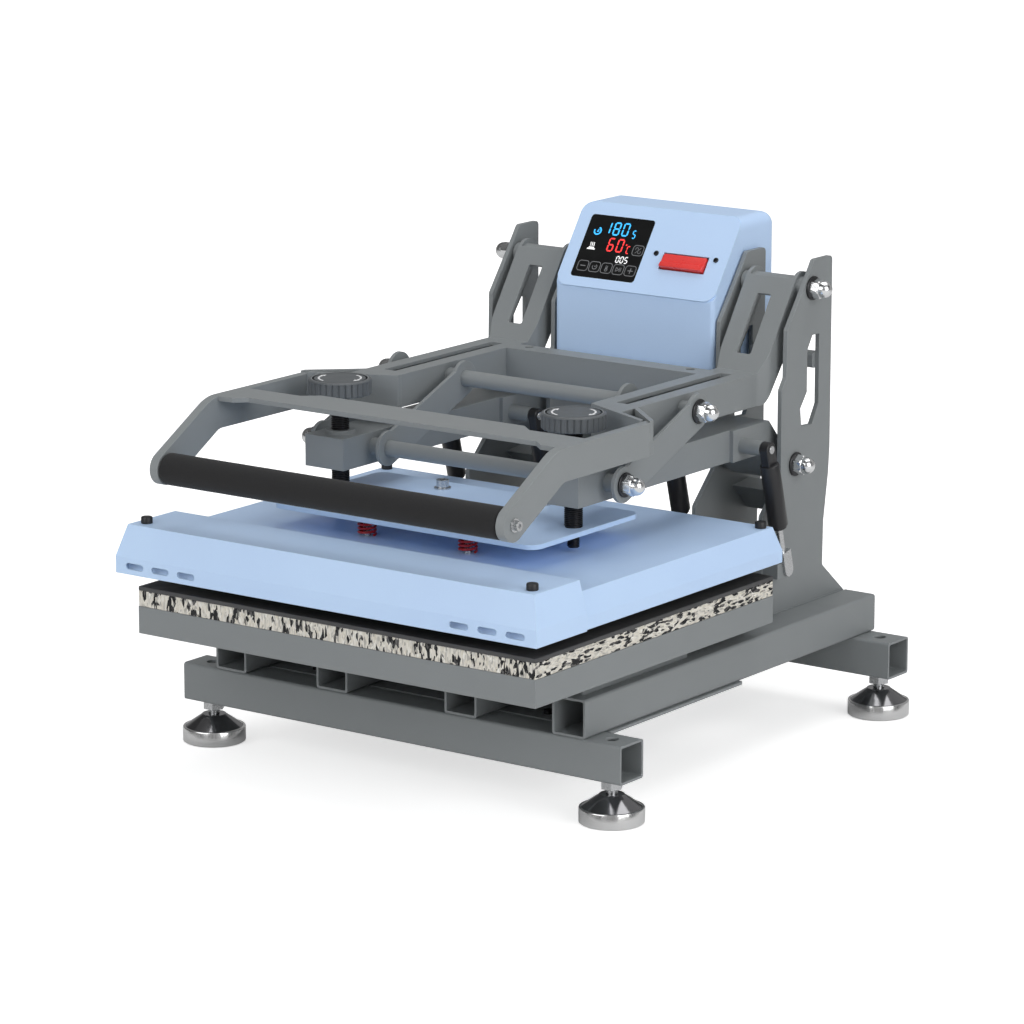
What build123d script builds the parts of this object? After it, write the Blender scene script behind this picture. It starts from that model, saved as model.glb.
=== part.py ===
from build123d import *
from math import atan2, ceil, cos, degrees, hypot, pi, sin, sqrt
import os

os.makedirs("parts", exist_ok=True)

# Large format clamshell heat press, modelled closed, in millimetres
# X points to the operator's right, Y to the back and Z up, with Z = 0 at the floor

# Clearances between neighbours
running_gap = 0.05
slip_gap = 0.1
side_gap = 0.3
pass_gap = 0.5

# Base frame of square tube
base_width = 556.0
base_front = -216.0
base_rear = 324.0
tube_size = 40.0
tube_wall = 2.5
tube_corner = 3.0
tube_lift = 45.0
rail_setback = 1.5
rail_overhang = 1.0
outer_rail_x = 215.0
inner_rail_x = 82.0
deck_half_width = 222.0
deck_thick = 5.0
deck_front = -199.0
deck_rear = -14.0
pan_half_width = 238.0
pan_thick = 3.0
pan_front = -174.0
pan_rear = 64.0
pan_bolt_spacing = 296.0
pan_bolt_radius = 5.0
pan_bolt_height = 4.0

# Levelling feet
foot_inset = 23.5
foot_radius = 33.0
foot_rim = 16.5
foot_cone = 13.0
foot_neck_radius = 12.5
stud_radius = 6.0
stud_into_tube = 15.0
foot_nut_flats = 20.0
foot_nut_height = 10.0
foot_hole_radius = 6.9

# Lower platen: steel board, sponge and silicone pad
board_width = 500.0
board_depth = 419.0
board_front = -319.0
board_thick = 28.5
sponge_thick = 16.5
pad_thick = 4.5
standoff_height = 12.0
standoff_radius = 9.0
standoff_spacing_x = 320.0
standoff_spacing_y = 130.0

# Uprights: an inner and an outer plate on each side of each arm
arm_x = 148.25
arm_width = 50.0
upright_gap = 78.9
upright_shift = 1.0
upright_thick = 5.0
base_plate_thick = 5.0
upright_corner = 5.0

# Pivots, side view
carrier_pivot_back = 97.0
carrier_pivot_height = 155.0
lever_pivot_back = 29.0
lever_pivot_height = 184.0
upper_link_back = -212.5
upper_link_height = -97.0
axle_radius = 8.0
pin_radius = 6.0

# Heat platen
open_gap = 11.5
heat_plate_thick = 15.0
wool_thick = 18.0
wool_inset = 8.0
sheet = 1.5
cover_flare = 7.5
cover_bevel_height = 25.0
cover_skirt = 12.5
cover_rear_margin = 5.0
cover_front_margin = 5.0
cover_above_wool = 6.0
guard_nose_reach = 18.0
guard_top_margin = 5.0
guard_flare = 9.0
guard_step = 14.0
guard_strip = 17.5
guard_top_rear = -253.0
guard_slope_back = 9.5
guard_drop = 1.5
vent_length = 23.0
vent_height = 6.5
vent_pitch = 33.7
vent_count = 3
vent_end_inset = 25.0
cap_radius = 6.0
cap_height = 7.0
cap_inset_x = 13.0
cap_front_in = 14.5
cap_rear_in = 10.5

# Pressure plate, springs and guide bolts
screw_y = -113.0
pressure_plate_width = 334.0
pressure_plate_depth = 186.0
pressure_plate_thick = 5.0
pressure_plate_corner = 14.0
spring_space = 21.0
spring_square = 128.0
spring_radius = 10.0
wire_radius = 1.3
spring_turns = 4.5
spring_end_gap = 0.15
guide_radius = 4.0
guide_head_radius = 6.5
guide_head_height = 8.0
guide_socket_flats = 6.0
guide_socket_depth = 4.0
guide_washer_radius = 9.0
guide_washer_thick = 1.5
guide_engagement = 12.0

# Pressure screws and knobs
screw_radius = 9.5
spigot_radius = 6.25
spigot_below_plate = 16.0
clip_radius = 8.5
clip_thick = 1.2
knob_radius = 33.0
knob_height = 16.0
knob_above_arm = 41.5
knob_edge = 2.0
knob_flutes = 30
flute_radius = 1.3
knob_socket_depth = 8.0
collar_radius = 15.5
collar_height = 4.0

# Carrier arms that hold the heat platen
carrier_height = 33.5
carrier_wall = 4.0
carrier_above_plate = 26.5
block_length = 70.0
block_ahead = 27.0
side_plate_thick = 5.0
side_plate_front = 131.5
hub_radius = 15.0
hub_cheek_radius = 18.0
cheek_top_end = 28.0
cheek_shoulder_back = 10.5
cheek_shoulder_height = 30.5
cheek_bottom_end = 44.0
torsion_radius = 13.0
torsion_bore = 8.6
gas_boss_radius = 8.0
gas_eye_back = -79.0
gas_eye_height = 31.3

# Links
link_thick = 4.0
link_gap = 16.2
link_end_radius = 18.5
link_upper_edge = 14.5
link_boss_radius = 9.1
cross_shaft_radius = 8.5
lower_link_behind_screw = 24.5
lower_link_above_bottom = 18.0

# Lever arms, rear beam and handle
lever_wall = 4.0
lever_depth = 35.0
lever_top_above_link = 15.0
lever_front = -47.0
lever_bend_back = -73.0
lever_rise_angle = 56.05
lever_end_radius = 17.5
lever_tube_radius = 11.0
lever_slot_width = 15.0
lever_slot_front = -29.0
lever_slot_rear = 162.5
rise_slot_start = 20.0
rise_slot_end = 90.0
rise_slot_width = 17.6
slot_corner = 2.0
web_past_pivot = 2.0
lever_heel_back = 6.5
lever_heel_radius = 8.0
rise_in = 118.7
rise_out = 180.0
flare_start = -1.0
flare_end = 13.0
flare_radius = 14.0
beam_front = 144.0
beam_depth = 25.0
beam_wall = 3.0
beam_hole_x = 104.5
beam_hole_radius = 5.0
beam_hole_back = 16.4
corner_plate_thick = 5.0
transverse_front = -89.0
diagonal_rear = -43.0
diagonal_front = -86.0
handle_inner_x = 211.5
handle_plate_thick = 10.0
handle_plate_width = 34.0
handle_top_below_lever = 2.0
handle_bend_y = -237.0
grip_y = -314.3
grip_drop = 44.5
grip_radius = 16.5
grip_tube_radius = 11.0
grip_tube_wall = 2.0
grip_end_gap = 1.0
handle_screw_radius = 5.0
handle_screw_height = 5.0
handle_washer_radius = 7.0
handle_washer_thick = 1.5
handle_shank_radius = 3.0
handle_shank_length = 22.0
handle_socket_flats = 4.0
handle_socket_depth = 2.5
cross_plate_thick = 5.0
cross_plate_outline = [(211.5, -234.0), (193.8, -233.0), (181.0, -222.0)]
cross_plate_rear_outline = [(211.5, -183.3), (144.5, -183.3), (128.3, -169.5)]

# Acorn nuts and washers
nut_flats = 19.0
nut_height = 10.0
dome_radius = 9.2
dome_lift = 1.6
washer_radius = 12.7
washer_thick = 2.5

# Gas springs
gas_boss_length = 26.0
gas_eye_width = 10.3
gas_eye_radius = 8.0
gas_neck_length = 17.0
gas_tube_radius = 10.4
gas_tube_length = 74.0
gas_bore_depth = 60.0
gas_rod_radius = 4.0
gas_rod_inside = 50.0
gas_pin_radius = 3.5
gas_clevis_length = 21.0
gas_clevis_radius = 7.5
gas_fork_thick = 3.0
gas_foot_y = -140.0
gas_foot_height = 52.0
gas_lug_thick = 6.0
gas_lug_radius = 8.0
gas_strap_thick = 5.0
gas_strap_front = 18.0
gas_strap_height = 16.0

# Control box
box_side_gap = 2.2
box_front = -118.5
box_rear = 0.5
box_bottom_above_pivot = 50.0
box_sill = 164.8
box_height = 249.0
box_lean = 58.5
box_wall = 2.0
box_corner = 10.0
box_front_corner = 5.0
box_top_corner = 13.0
panel_thick = 2.0
panel_corner = 14.0
panel_rim = 12.0
screen_width = 82.8
screen_height = 74.9
screen_x = -45.0
screen_up = 48.75
screen_corner = 4.0
screen_thick = 1.5
rocker_x = 49.8
rocker_up = 41.0
rocker_width = 55.0
rocker_depth = 17.0
rocker_proud = 5.0
rocker_ridge = 3.0
rocker_throw = 5.0
rocker_gap = 1.5
panel_screw_spacing = 76.4
panel_screw_up = 48.8
panel_screw_radius = 3.0
panel_screw_head = 1.5
panel_screw_length = 8.0
inlet_width = 28.0
inlet_height = 22.0
inlet_depth = 18.0
inlet_above_bottom = 30.0
inlet_flange = 5.0
inlet_pin_radius = 1.5
inlet_pin_spacing = 7.0
mount_bolt_radius = 4.0
mount_bolt_up = 35.0
mount_bolt_spacing = 60.0
circuit_width = 150.0
circuit_height = 90.0
circuit_thick = 2.0
circuit_standoff = 10.0
circuit_standoff_radius = 4.0
circuit_margin = 10.0

# Upright side view, as offsets in Y and Z from the two pivots
# Each entry names the pivot it is measured from: "c" carrier, "l" lever, "r" rail top
upright_outline = [
    ("r", -62.0, 0.0),
    ("c", -62.0, -46.0),
    ("c", -27.8, -12.0),
    ("c", -27.8, 83.0),
    ("c", -19.3, 95.0),
    ("l", -47.3, -38.5),
    ("l", -5.3, 17.5),
    ("l", 3.5, 30.0),
    ("l", 38.5, 30.0),
    ("c", 67.5, 8.0),
    ("c", 65.5, -20.0),
    ("c", 57.2, -72.0),
    ("c", 56.2, -120.0),
    ("r", 99.0, 0.0),
]
window_outline = [
    ("l", 1.5, -50.5),
    ("l", 15.0, -50.5),
    ("l", 15.0, -126.0),
    ("l", 2.5, -146.4),
    ("l", -18.0, -145.4),
    ("l", -20.5, -126.0),
    ("l", -8.0, -110.0),
    ("l", -8.0, -65.0),
]
spacer_back = 18.0
spacer_drop = 79.8
spacer_size = 16.5
brace_outline = [(41.0, -34.0), (12.0, -37.0), (36.0, -62.0)]
brace_thick = 4.0

# Heights of the stack, from the floor up
rail_bottom = tube_lift + tube_size
rail_top = rail_bottom + tube_size
deck_top = rail_top + deck_thick
board_bottom = deck_top + standoff_height
board_top = board_bottom + board_thick
sponge_top = board_top + sponge_thick
pad_top = sponge_top + pad_thick
heat_bottom = pad_top + open_gap
heat_top = heat_bottom + heat_plate_thick
wool_top = heat_top + wool_thick
cover_top = wool_top + cover_above_wool + sheet
cover_bottom = cover_top - cover_bevel_height - cover_skirt
guard_top = cover_top + guard_step
guard_bottom = cover_bottom + guard_drop
plate_bottom = cover_top + spring_space
plate_top = plate_bottom + pressure_plate_thick
carrier_bottom = plate_top + carrier_above_plate
carrier_top = carrier_bottom + carrier_height

# Pivots in (Y, Z)
carrier_pivot = (base_rear - carrier_pivot_back, rail_top + carrier_pivot_height)
lever_pivot = (carrier_pivot[0] + lever_pivot_back, carrier_pivot[1] + lever_pivot_height)
upper_link = (lever_pivot[0] + upper_link_back, lever_pivot[1] + upper_link_height)
lower_link = (screw_y + lower_link_behind_screw, carrier_bottom + lower_link_above_bottom)
gas_eye = (carrier_pivot[0] + gas_eye_back, carrier_pivot[1] + gas_eye_height)
gas_foot = (base_rear + gas_foot_y, rail_top + gas_foot_height)
lever_top = upper_link[1] + lever_top_above_link
lever_bottom = lever_top - lever_depth

# Faces across the width, right side
arm_in = arm_x - arm_width / 2
arm_out = arm_x + arm_width / 2
upright_mid = arm_x + upright_shift
upright_out_inner = upright_mid + upright_gap / 2
upright_out_outer = upright_out_inner + upright_thick
upright_in_outer = upright_mid - upright_gap / 2
upright_in_inner = upright_in_outer - upright_thick
link_out_inner = arm_out + link_gap
link_out_outer = link_out_inner + link_thick
link_in_outer = arm_in - link_gap
link_in_inner = link_in_outer - link_thick
handle_outer_x = handle_inner_x + handle_plate_thick
inner_rail_face = inner_rail_x + tube_size / 2
outer_rail_face = outer_rail_x - tube_size / 2
platen_y = board_front + board_depth / 2


# Helpers
def keep(builder, name):
    """Labels a finished piece and writes it."""
    builder.part.label = name
    export_step(builder.part, f"parts/{name}.step")


def side(x):
    """The side view plane at x, with local axes along Y and Z."""
    return Plane.YZ.offset(x)


def from_pivot(entry):
    """A (Y, Z) point from an offset that names its pivot."""
    place, dy, dz = entry
    if place == "l":
        return (lever_pivot[0] + dy, lever_pivot[1] + dz)
    if place == "c":
        return (carrier_pivot[0] + dy, carrier_pivot[1] + dz)
    return (carrier_pivot[0] + dy, rail_top + dz)


def along(start, angle, distance):
    """The point at a distance from start, at an angle in degrees."""
    turn = angle * pi / 180
    return (start[0] + distance * cos(turn), start[1] + distance * sin(turn))


def disc(plane, place, radius, length):
    """Adds a cylinder that starts on plane at place and runs along its normal."""
    with BuildSketch(plane) as face:
        with Locations(place):
            Circle(radius)
    extrude(face.sketch, amount=length)


def drill(plane, place, radius, length):
    """Cuts a round hole that starts on plane at place and runs along its normal."""
    with BuildSketch(plane) as face:
        with Locations(place):
            Circle(radius)
    extrude(face.sketch, amount=length, mode=Mode.SUBTRACT)


def square_tube(plane, centres, length):
    """Adds open square tubes with their sections centred on the places given."""
    bore = tube_size - 2 * tube_wall
    with BuildSketch(plane) as section:
        with Locations(*centres):
            RectangleRounded(tube_size, tube_size, tube_corner)
            RectangleRounded(bore, bore, tube_corner - tube_wall / 2, mode=Mode.SUBTRACT)
    extrude(section.sketch, amount=length)


# Base frame: two cross tubes under four rails
foot_x = base_width / 2 - foot_inset
foot_ys = [base_front + tube_size / 2, base_rear - tube_size / 2]

foot_places = [(x, y) for x in (-foot_x, foot_x) for y in foot_ys]
cross_tube_places = [(y, tube_lift + tube_size / 2) for y in foot_ys]
with BuildPart() as cross_tubes:
    square_tube(side(-base_width / 2), cross_tube_places, base_width)
    for place in foot_places:
        drill(Plane.XY.offset(tube_lift), place, foot_hole_radius, tube_size)
keep(cross_tubes, "cross_tubes")

rail_start = base_front + rail_setback
rail_length = base_rear + rail_overhang - rail_start
rail_plane = Plane((0, rail_start, 0), x_dir=(1, 0, 0), z_dir=(0, 1, 0))
rail_xs = (-outer_rail_x, -inner_rail_x, inner_rail_x, outer_rail_x)
with BuildPart() as base_rails:
    square_tube(rail_plane, [(x, -rail_bottom - tube_size / 2) for x in rail_xs], rail_length)
keep(base_rails, "base_rails")

with BuildPart() as deck_plate:
    with BuildSketch(Plane.XY.offset(rail_top)):
        with Locations((0, (deck_front + deck_rear) / 2)):
            RectangleRounded(2 * deck_half_width, deck_rear - deck_front, tube_corner)
    extrude(amount=deck_thick)
keep(deck_plate, "deck_plate")

pan_bolt_y = (pan_front + base_front + tube_size) / 2 + tube_size / 2
with BuildPart() as base_pan:
    with BuildSketch(Plane.XY.offset(rail_bottom - pan_thick)):
        with Locations((0, (pan_front + pan_rear) / 2)):
            RectangleRounded(2 * pan_half_width, pan_rear - pan_front, tube_corner)
    extrude(amount=pan_thick)
keep(base_pan, "base_pan")

# Levelling feet, each a chromed pad with its threaded stud
stud_top = tube_lift + stud_into_tube
for corner, x, y in (
    ("front_left", -foot_x, foot_ys[0]),
    ("front_right", foot_x, foot_ys[0]),
    ("rear_left", -foot_x, foot_ys[1]),
    ("rear_right", foot_x, foot_ys[1]),
):
    with BuildPart() as foot:
        with BuildSketch(Plane((x, y, 0), x_dir=(1, 0, 0), z_dir=(0, -1, 0))):
            with BuildLine():
                Polyline(
                    (0, 0),
                    (foot_radius, 0),
                    (foot_radius, foot_rim),
                    (foot_neck_radius, foot_rim + foot_cone),
                    (stud_radius, foot_rim + foot_cone),
                    (stud_radius, stud_top),
                    (0, stud_top),
                    close=True,
                )
            make_face()
        revolve(axis=Axis((x, y, 0), (0, 0, 1)))
    keep(foot, "foot_" + corner)

with BuildPart() as foot_lock_nuts:
    with BuildSketch(Plane.XY.offset(tube_lift - foot_nut_height)):
        with Locations(*foot_places):
            RegularPolygon(foot_nut_flats / 2, 6, major_radius=False)
            Circle(stud_radius + running_gap, mode=Mode.SUBTRACT)
    extrude(amount=foot_nut_height)
keep(foot_lock_nuts, "foot_lock_nuts")

# Lower platen, bottom to top
with BuildPart() as standoffs:
    with BuildSketch(Plane.XY.offset(deck_top)):
        with Locations((0, (deck_front + deck_rear) / 2)):
            with GridLocations(standoff_spacing_x, standoff_spacing_y, 2, 2):
                Circle(standoff_radius)
    extrude(amount=standoff_height)
keep(standoffs, "platen_standoffs")

for name, low, thick in (
    ("platen_board", board_bottom, board_thick),
    ("sponge_layer", board_top, sponge_thick),
    ("silicone_pad", sponge_top, pad_thick),
):
    with BuildPart() as layer:
        with BuildSketch(Plane.XY.offset(low)):
            with Locations((0, platen_y)):
                Rectangle(board_width, board_depth)
        extrude(amount=thick)
    keep(layer, name)

# Uprights and what holds them
base_plate_front = carrier_pivot[0] + upright_outline[0][1]
base_plate_rear = base_rear + rail_overhang
with BuildPart() as upright_base_plates:
    with BuildSketch(Plane.XY.offset(rail_top - base_plate_thick)):
        for direction in (-1, 1):
            plate_centre = direction * (inner_rail_face + outer_rail_face) / 2
            with Locations((plate_centre, (base_plate_front + base_plate_rear) / 2)):
                Rectangle(outer_rail_face - inner_rail_face, base_plate_rear - base_plate_front)
    extrude(amount=base_plate_thick)
keep(upright_base_plates, "upright_base_plates")

upright_points = [from_pivot(entry) for entry in upright_outline]
window_points = [from_pivot(entry) for entry in window_outline]
for name, x, axle_hole in (
    ("outer_uprights", upright_out_inner, axle_radius),
    ("inner_uprights", upright_in_inner, torsion_radius + pass_gap),
):
    with BuildPart() as uprights:
        with BuildSketch(side(x)) as upright_face:
            with BuildLine():
                Polyline(*upright_points, close=True)
            make_face()
            high_corners = upright_face.vertices().group_by(Axis.Y)[1:]
            fillet([corner for group in high_corners for corner in group], upright_corner)
            with BuildLine():
                Polyline(*window_points, close=True)
            make_face(mode=Mode.SUBTRACT)
            with Locations(lever_pivot):
                Circle(pin_radius, mode=Mode.SUBTRACT)
            with Locations(carrier_pivot):
                Circle(axle_hole, mode=Mode.SUBTRACT)
        extrude(amount=upright_thick)
        mirror(about=Plane.YZ)
    keep(uprights, name)

# A bar and a bent brace join each inner upright to its outer one
spacer_centre = (lever_pivot[0] + spacer_back, lever_pivot[1] - spacer_drop)
brace_points = [(carrier_pivot[0] + dy, carrier_pivot[1] + dz) for dy, dz in brace_outline]
with BuildPart() as upright_spacers:
    with BuildSketch(side(upright_in_outer)):
        with Locations(spacer_centre):
            RectangleRounded(spacer_size, spacer_size, tube_corner)
    extrude(amount=upright_gap)
    with BuildSketch(side(upright_in_outer)):
        with BuildLine():
            Polyline(*brace_points)
            offset(amount=brace_thick / 2, kind=Kind.INTERSECTION, side=Side.BOTH)
        make_face()
    extrude(amount=upright_gap)
    mirror(about=Plane.YZ)
keep(upright_spacers, "upright_spacers")

# Fixed pivot pins: one long axle for the carrier, four short studs for the lever
nut_seat = upright_out_outer + washer_thick
pin_reach = nut_height + dome_radius / 2
with BuildPart() as pivot_pins:
    disc(side(upright_out_inner), lever_pivot, pin_radius, upright_thick + washer_thick + pin_reach)
    disc(side(upright_in_inner), lever_pivot, pin_radius, upright_thick)
    mirror(about=Plane.YZ)
    disc(side(-upright_out_outer), carrier_pivot, axle_radius, 2 * upright_out_outer)
    disc(side(-nut_seat - pin_reach), carrier_pivot, pin_radius, 2 * (nut_seat + pin_reach))
keep(pivot_pins, "pivot_pins")


def acorn_nuts(places, seat):
    """Adds domed nuts on both sides of the machine, bored for their pins."""
    for place in places:
        with BuildSketch(side(seat)) as hexagon:
            with Locations(place):
                RegularPolygon(nut_flats / 2, 6, major_radius=False)
        extrude(hexagon.sketch, amount=nut_height)
        dome_start = seat + nut_height + dome_lift
        with Locations((dome_start, place[0], place[1])):
            Sphere(dome_radius)
        drill(side(seat), place, pin_radius, pin_reach)
    mirror(about=Plane.YZ)


def washers(places, seat):
    """Adds plain washers on both sides of the machine."""
    with BuildSketch(side(seat)) as rings:
        with Locations(*places):
            Circle(washer_radius)
            Circle(pin_radius, mode=Mode.SUBTRACT)
    extrude(rings.sketch, amount=washer_thick)
    mirror(about=Plane.YZ)


with BuildPart() as upright_nuts:
    acorn_nuts([lever_pivot, carrier_pivot], nut_seat)
keep(upright_nuts, "upright_nuts")

with BuildPart() as upright_washers:
    washers([lever_pivot, carrier_pivot], upright_out_outer)
keep(upright_washers, "upright_washers")

# Carrier arms: a tube with a solid screw block in front and a cheeked hub behind
arm_front = screw_y - block_ahead
cheek_points = [
    (side_plate_front, carrier_bottom),
    (side_plate_front, carrier_top),
    (carrier_pivot[0] - cheek_top_end, carrier_top),
    (carrier_pivot[0] - cheek_shoulder_back, carrier_pivot[1] + cheek_shoulder_height),
    along(carrier_pivot, 45, hub_cheek_radius),
    carrier_pivot,
    along(carrier_pivot, 225, hub_cheek_radius),
    (carrier_pivot[0] - cheek_bottom_end, carrier_bottom),
]
cheek_in = arm_in - side_plate_thick
cheek_out = arm_out + side_plate_thick
hub_inner = upright_in_outer + side_gap
hub_outer = upright_out_inner - side_gap
gas_outer_boss_end = cheek_out + gas_boss_length
gas_inner_boss_end = cheek_in - gas_boss_length

for name, flip in (("carrier_arm_left", True), ("carrier_arm_right", False)):
    with BuildPart() as carrier_arm:
        with BuildSketch(side(arm_in)):
            with Locations(((arm_front + side_plate_front) / 2, (carrier_bottom + carrier_top) / 2)):
                Rectangle(side_plate_front - arm_front, carrier_height)
        extrude(amount=arm_width)
        with BuildSketch(side(cheek_in)):
            with BuildLine():
                Polyline(*cheek_points, close=True)
            make_face()
            with Locations(carrier_pivot):
                Circle(hub_cheek_radius)
        extrude(amount=cheek_out - cheek_in)
        hollow_start = arm_front + block_length
        hollow_end = side_plate_front + carrier_wall
        with BuildSketch(side(arm_in + carrier_wall)):
            with Locations(((hollow_start + hollow_end) / 2, (carrier_bottom + carrier_top) / 2)):
                Rectangle(hollow_end - hollow_start, carrier_height - 2 * carrier_wall)
        extrude(amount=arm_width - 2 * carrier_wall, mode=Mode.SUBTRACT)
        disc(side(hub_inner), carrier_pivot, hub_radius, hub_outer - hub_inner)
        disc(side(cheek_out), gas_eye, gas_boss_radius, gas_boss_length)
        disc(side(gas_inner_boss_end), gas_eye, gas_boss_radius, gas_boss_length)
        disc(Plane.XY.offset(carrier_top), (arm_x, screw_y), collar_radius, collar_height)
        disc(side(link_in_outer + side_gap), lower_link, link_boss_radius, link_gap - side_gap)
        disc(side(arm_out), lower_link, link_boss_radius, link_gap - side_gap)
        drill(side(link_in_outer), lower_link, pin_radius + running_gap, link_out_inner - link_in_outer)
        drill(side(hub_inner), carrier_pivot, axle_radius + running_gap, hub_outer - hub_inner)
        drill(
            Plane.XY.offset(carrier_bottom), (arm_x, screw_y), screw_radius + slip_gap,
            carrier_height + collar_height,
        )
        if flip:
            mirror(about=Plane.YZ, mode=Mode.REPLACE)
    keep(carrier_arm, name)

with BuildPart() as torsion_tube:
    disc(side(-hub_inner), carrier_pivot, torsion_radius, 2 * hub_inner)
    drill(side(-hub_inner), carrier_pivot, torsion_bore, 2 * hub_inner)
keep(torsion_tube, "torsion_tube")

# Links: two flat bars on each arm and two cross shafts
link_angle = degrees(atan2(upper_link[1] - lower_link[1], upper_link[0] - lower_link[0]))
link_length = hypot(upper_link[0] - lower_link[0], upper_link[1] - lower_link[1])
link_middle = ((upper_link[0] + lower_link[0]) / 2, (upper_link[1] + lower_link[1]) / 2)
link_bar_middle = along(link_middle, link_angle - 90, (link_end_radius - link_upper_edge) / 2)
with BuildPart() as link_plates:
    for x in (link_out_inner, link_in_inner):
        with BuildSketch(side(x)):
            with Locations(upper_link, lower_link):
                Circle(link_end_radius)
            with Locations(Location((link_bar_middle[0], link_bar_middle[1], 0), (0, 0, link_angle))):
                Rectangle(link_length, link_end_radius + link_upper_edge)
            with Locations(upper_link, lower_link):
                Circle(pin_radius, mode=Mode.SUBTRACT)
        extrude(amount=link_thick)
    mirror(about=Plane.YZ)
keep(link_plates, "link_plates")

link_nut_seat = link_out_outer + washer_thick
shaft_half = link_nut_seat + pin_reach
with BuildPart() as link_shafts:
    for place in (upper_link, lower_link):
        disc(side(-shaft_half), place, pin_radius, 2 * shaft_half)
        disc(side(-link_in_inner), place, cross_shaft_radius, 2 * link_in_inner)
keep(link_shafts, "link_shafts")

with BuildPart() as link_nuts:
    acorn_nuts([upper_link, lower_link], link_nut_seat)
keep(link_nuts, "link_nuts")

with BuildPart() as link_washers:
    washers([upper_link, lower_link], link_out_outer)
keep(link_washers, "link_washers")

# Lever arms: bent channels, open underneath, with a pivot tube at the top
lever_bend = (lever_pivot[0] + lever_bend_back, lever_top)
square_angle = lever_rise_angle - 90
rise_to_pivot = (lever_pivot[0] - lever_bend[0]) * cos(lever_rise_angle * pi / 180) + (
    lever_pivot[1] - lever_bend[1]
) * sin(lever_rise_angle * pi / 180)
outer_end = along(lever_bend, lever_rise_angle, rise_to_pivot)
inner_end = along(outer_end, square_angle, lever_depth)
end_centre = along(outer_end, square_angle, lever_depth / 2)
lever_heel = (lever_bend[0] + lever_heel_back, lever_bottom)
half_turn = lever_rise_angle * pi / 360


def arm_plan(front_y, inset):
    """Plan outline of the right lever arm, inset from its side faces."""
    rear_y = inner_end[0] + lever_end_radius + lever_depth
    start_y = lever_bend[0] + flare_start
    end_y = lever_bend[0] + flare_end
    inner = [(arm_in, front_y), (arm_in, start_y), (rise_in, end_y), (rise_in, rear_y)]
    outer = [(rise_out, rear_y), (rise_out, end_y), (arm_out, start_y), (arm_out, front_y)]
    return [(x + inset, y) for x, y in inner] + [(x - inset, y) for x, y in outer]


def flare_corners(plan):
    """The four corners of an arm's plan outline where its width changes."""
    return plan.vertices().sort_by(Axis.Y)[2:6]


corner_slope = (transverse_front - lever_front) / (handle_inner_x - arm_in)
transverse_depth = corner_plate_thick * sqrt(1 + corner_slope**2)
outer_slope = (diagonal_front - diagonal_rear) / (handle_outer_x - arm_out)
diagonal_depth = corner_plate_thick * sqrt(1 + outer_slope**2)


def transverse_y(x):
    """Front face of the transverse corner plate at x."""
    return lever_front + corner_slope * (x - arm_in)


def diagonal_y(x):
    """Front face of the outer diagonal corner plate at x."""
    return diagonal_rear + outer_slope * (x - arm_out)


lever_hub_in = upright_in_outer + 3 * side_gap
lever_hub_out = upright_out_inner - 3 * side_gap
arm_start_y = transverse_y(arm_out)
slot_centre_y = (lever_slot_front + lever_slot_rear) / 2
slot_middle = (rise_slot_start + rise_slot_end) / 2
slot_place = along(lever_bend, lever_rise_angle, slot_middle)
slot_plane = Plane(
    (arm_x, slot_place[0], slot_place[1]),
    x_dir=(0, cos(lever_rise_angle * pi / 180), sin(lever_rise_angle * pi / 180)),
    z_dir=(0, -sin(lever_rise_angle * pi / 180), cos(lever_rise_angle * pi / 180)),
)

# The space inside an arm: open underneath and at the top end, past the end of the web
web_end = along(outer_end, lever_rise_angle, web_past_pivot)
web_end_inside = along(web_end, square_angle, lever_wall)
web_end_outside = along(web_end, square_angle, -lever_wall)
cavity_points = [
    (arm_start_y - lever_depth, lever_bottom - lever_depth),
    (arm_start_y - lever_depth, lever_top - lever_wall),
    (lever_bend[0] + lever_wall * sin(half_turn) / cos(half_turn), lever_top - lever_wall),
    web_end_inside,
    web_end_outside,
    along(web_end_outside, lever_rise_angle, 2 * lever_end_radius),
    along(along(inner_end, lever_rise_angle, 2 * lever_end_radius), square_angle, lever_end_radius),
    along(lever_heel, -45, lever_depth),
]
with BuildPart() as arm_space:
    with BuildSketch(side(rise_in)):
        with BuildLine():
            Polyline(*cavity_points, close=True)
        make_face()
    extrude(amount=rise_out - rise_in)
    with BuildSketch(Plane.XY.offset(lever_bottom - lever_depth)) as space_plan:
        with BuildLine():
            Polyline(*arm_plan(arm_start_y - lever_depth, lever_wall), close=True)
        make_face()
        fillet(flare_corners(space_plan), flare_radius)
    extrude(amount=lever_pivot[1], mode=Mode.INTERSECT)

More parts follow.
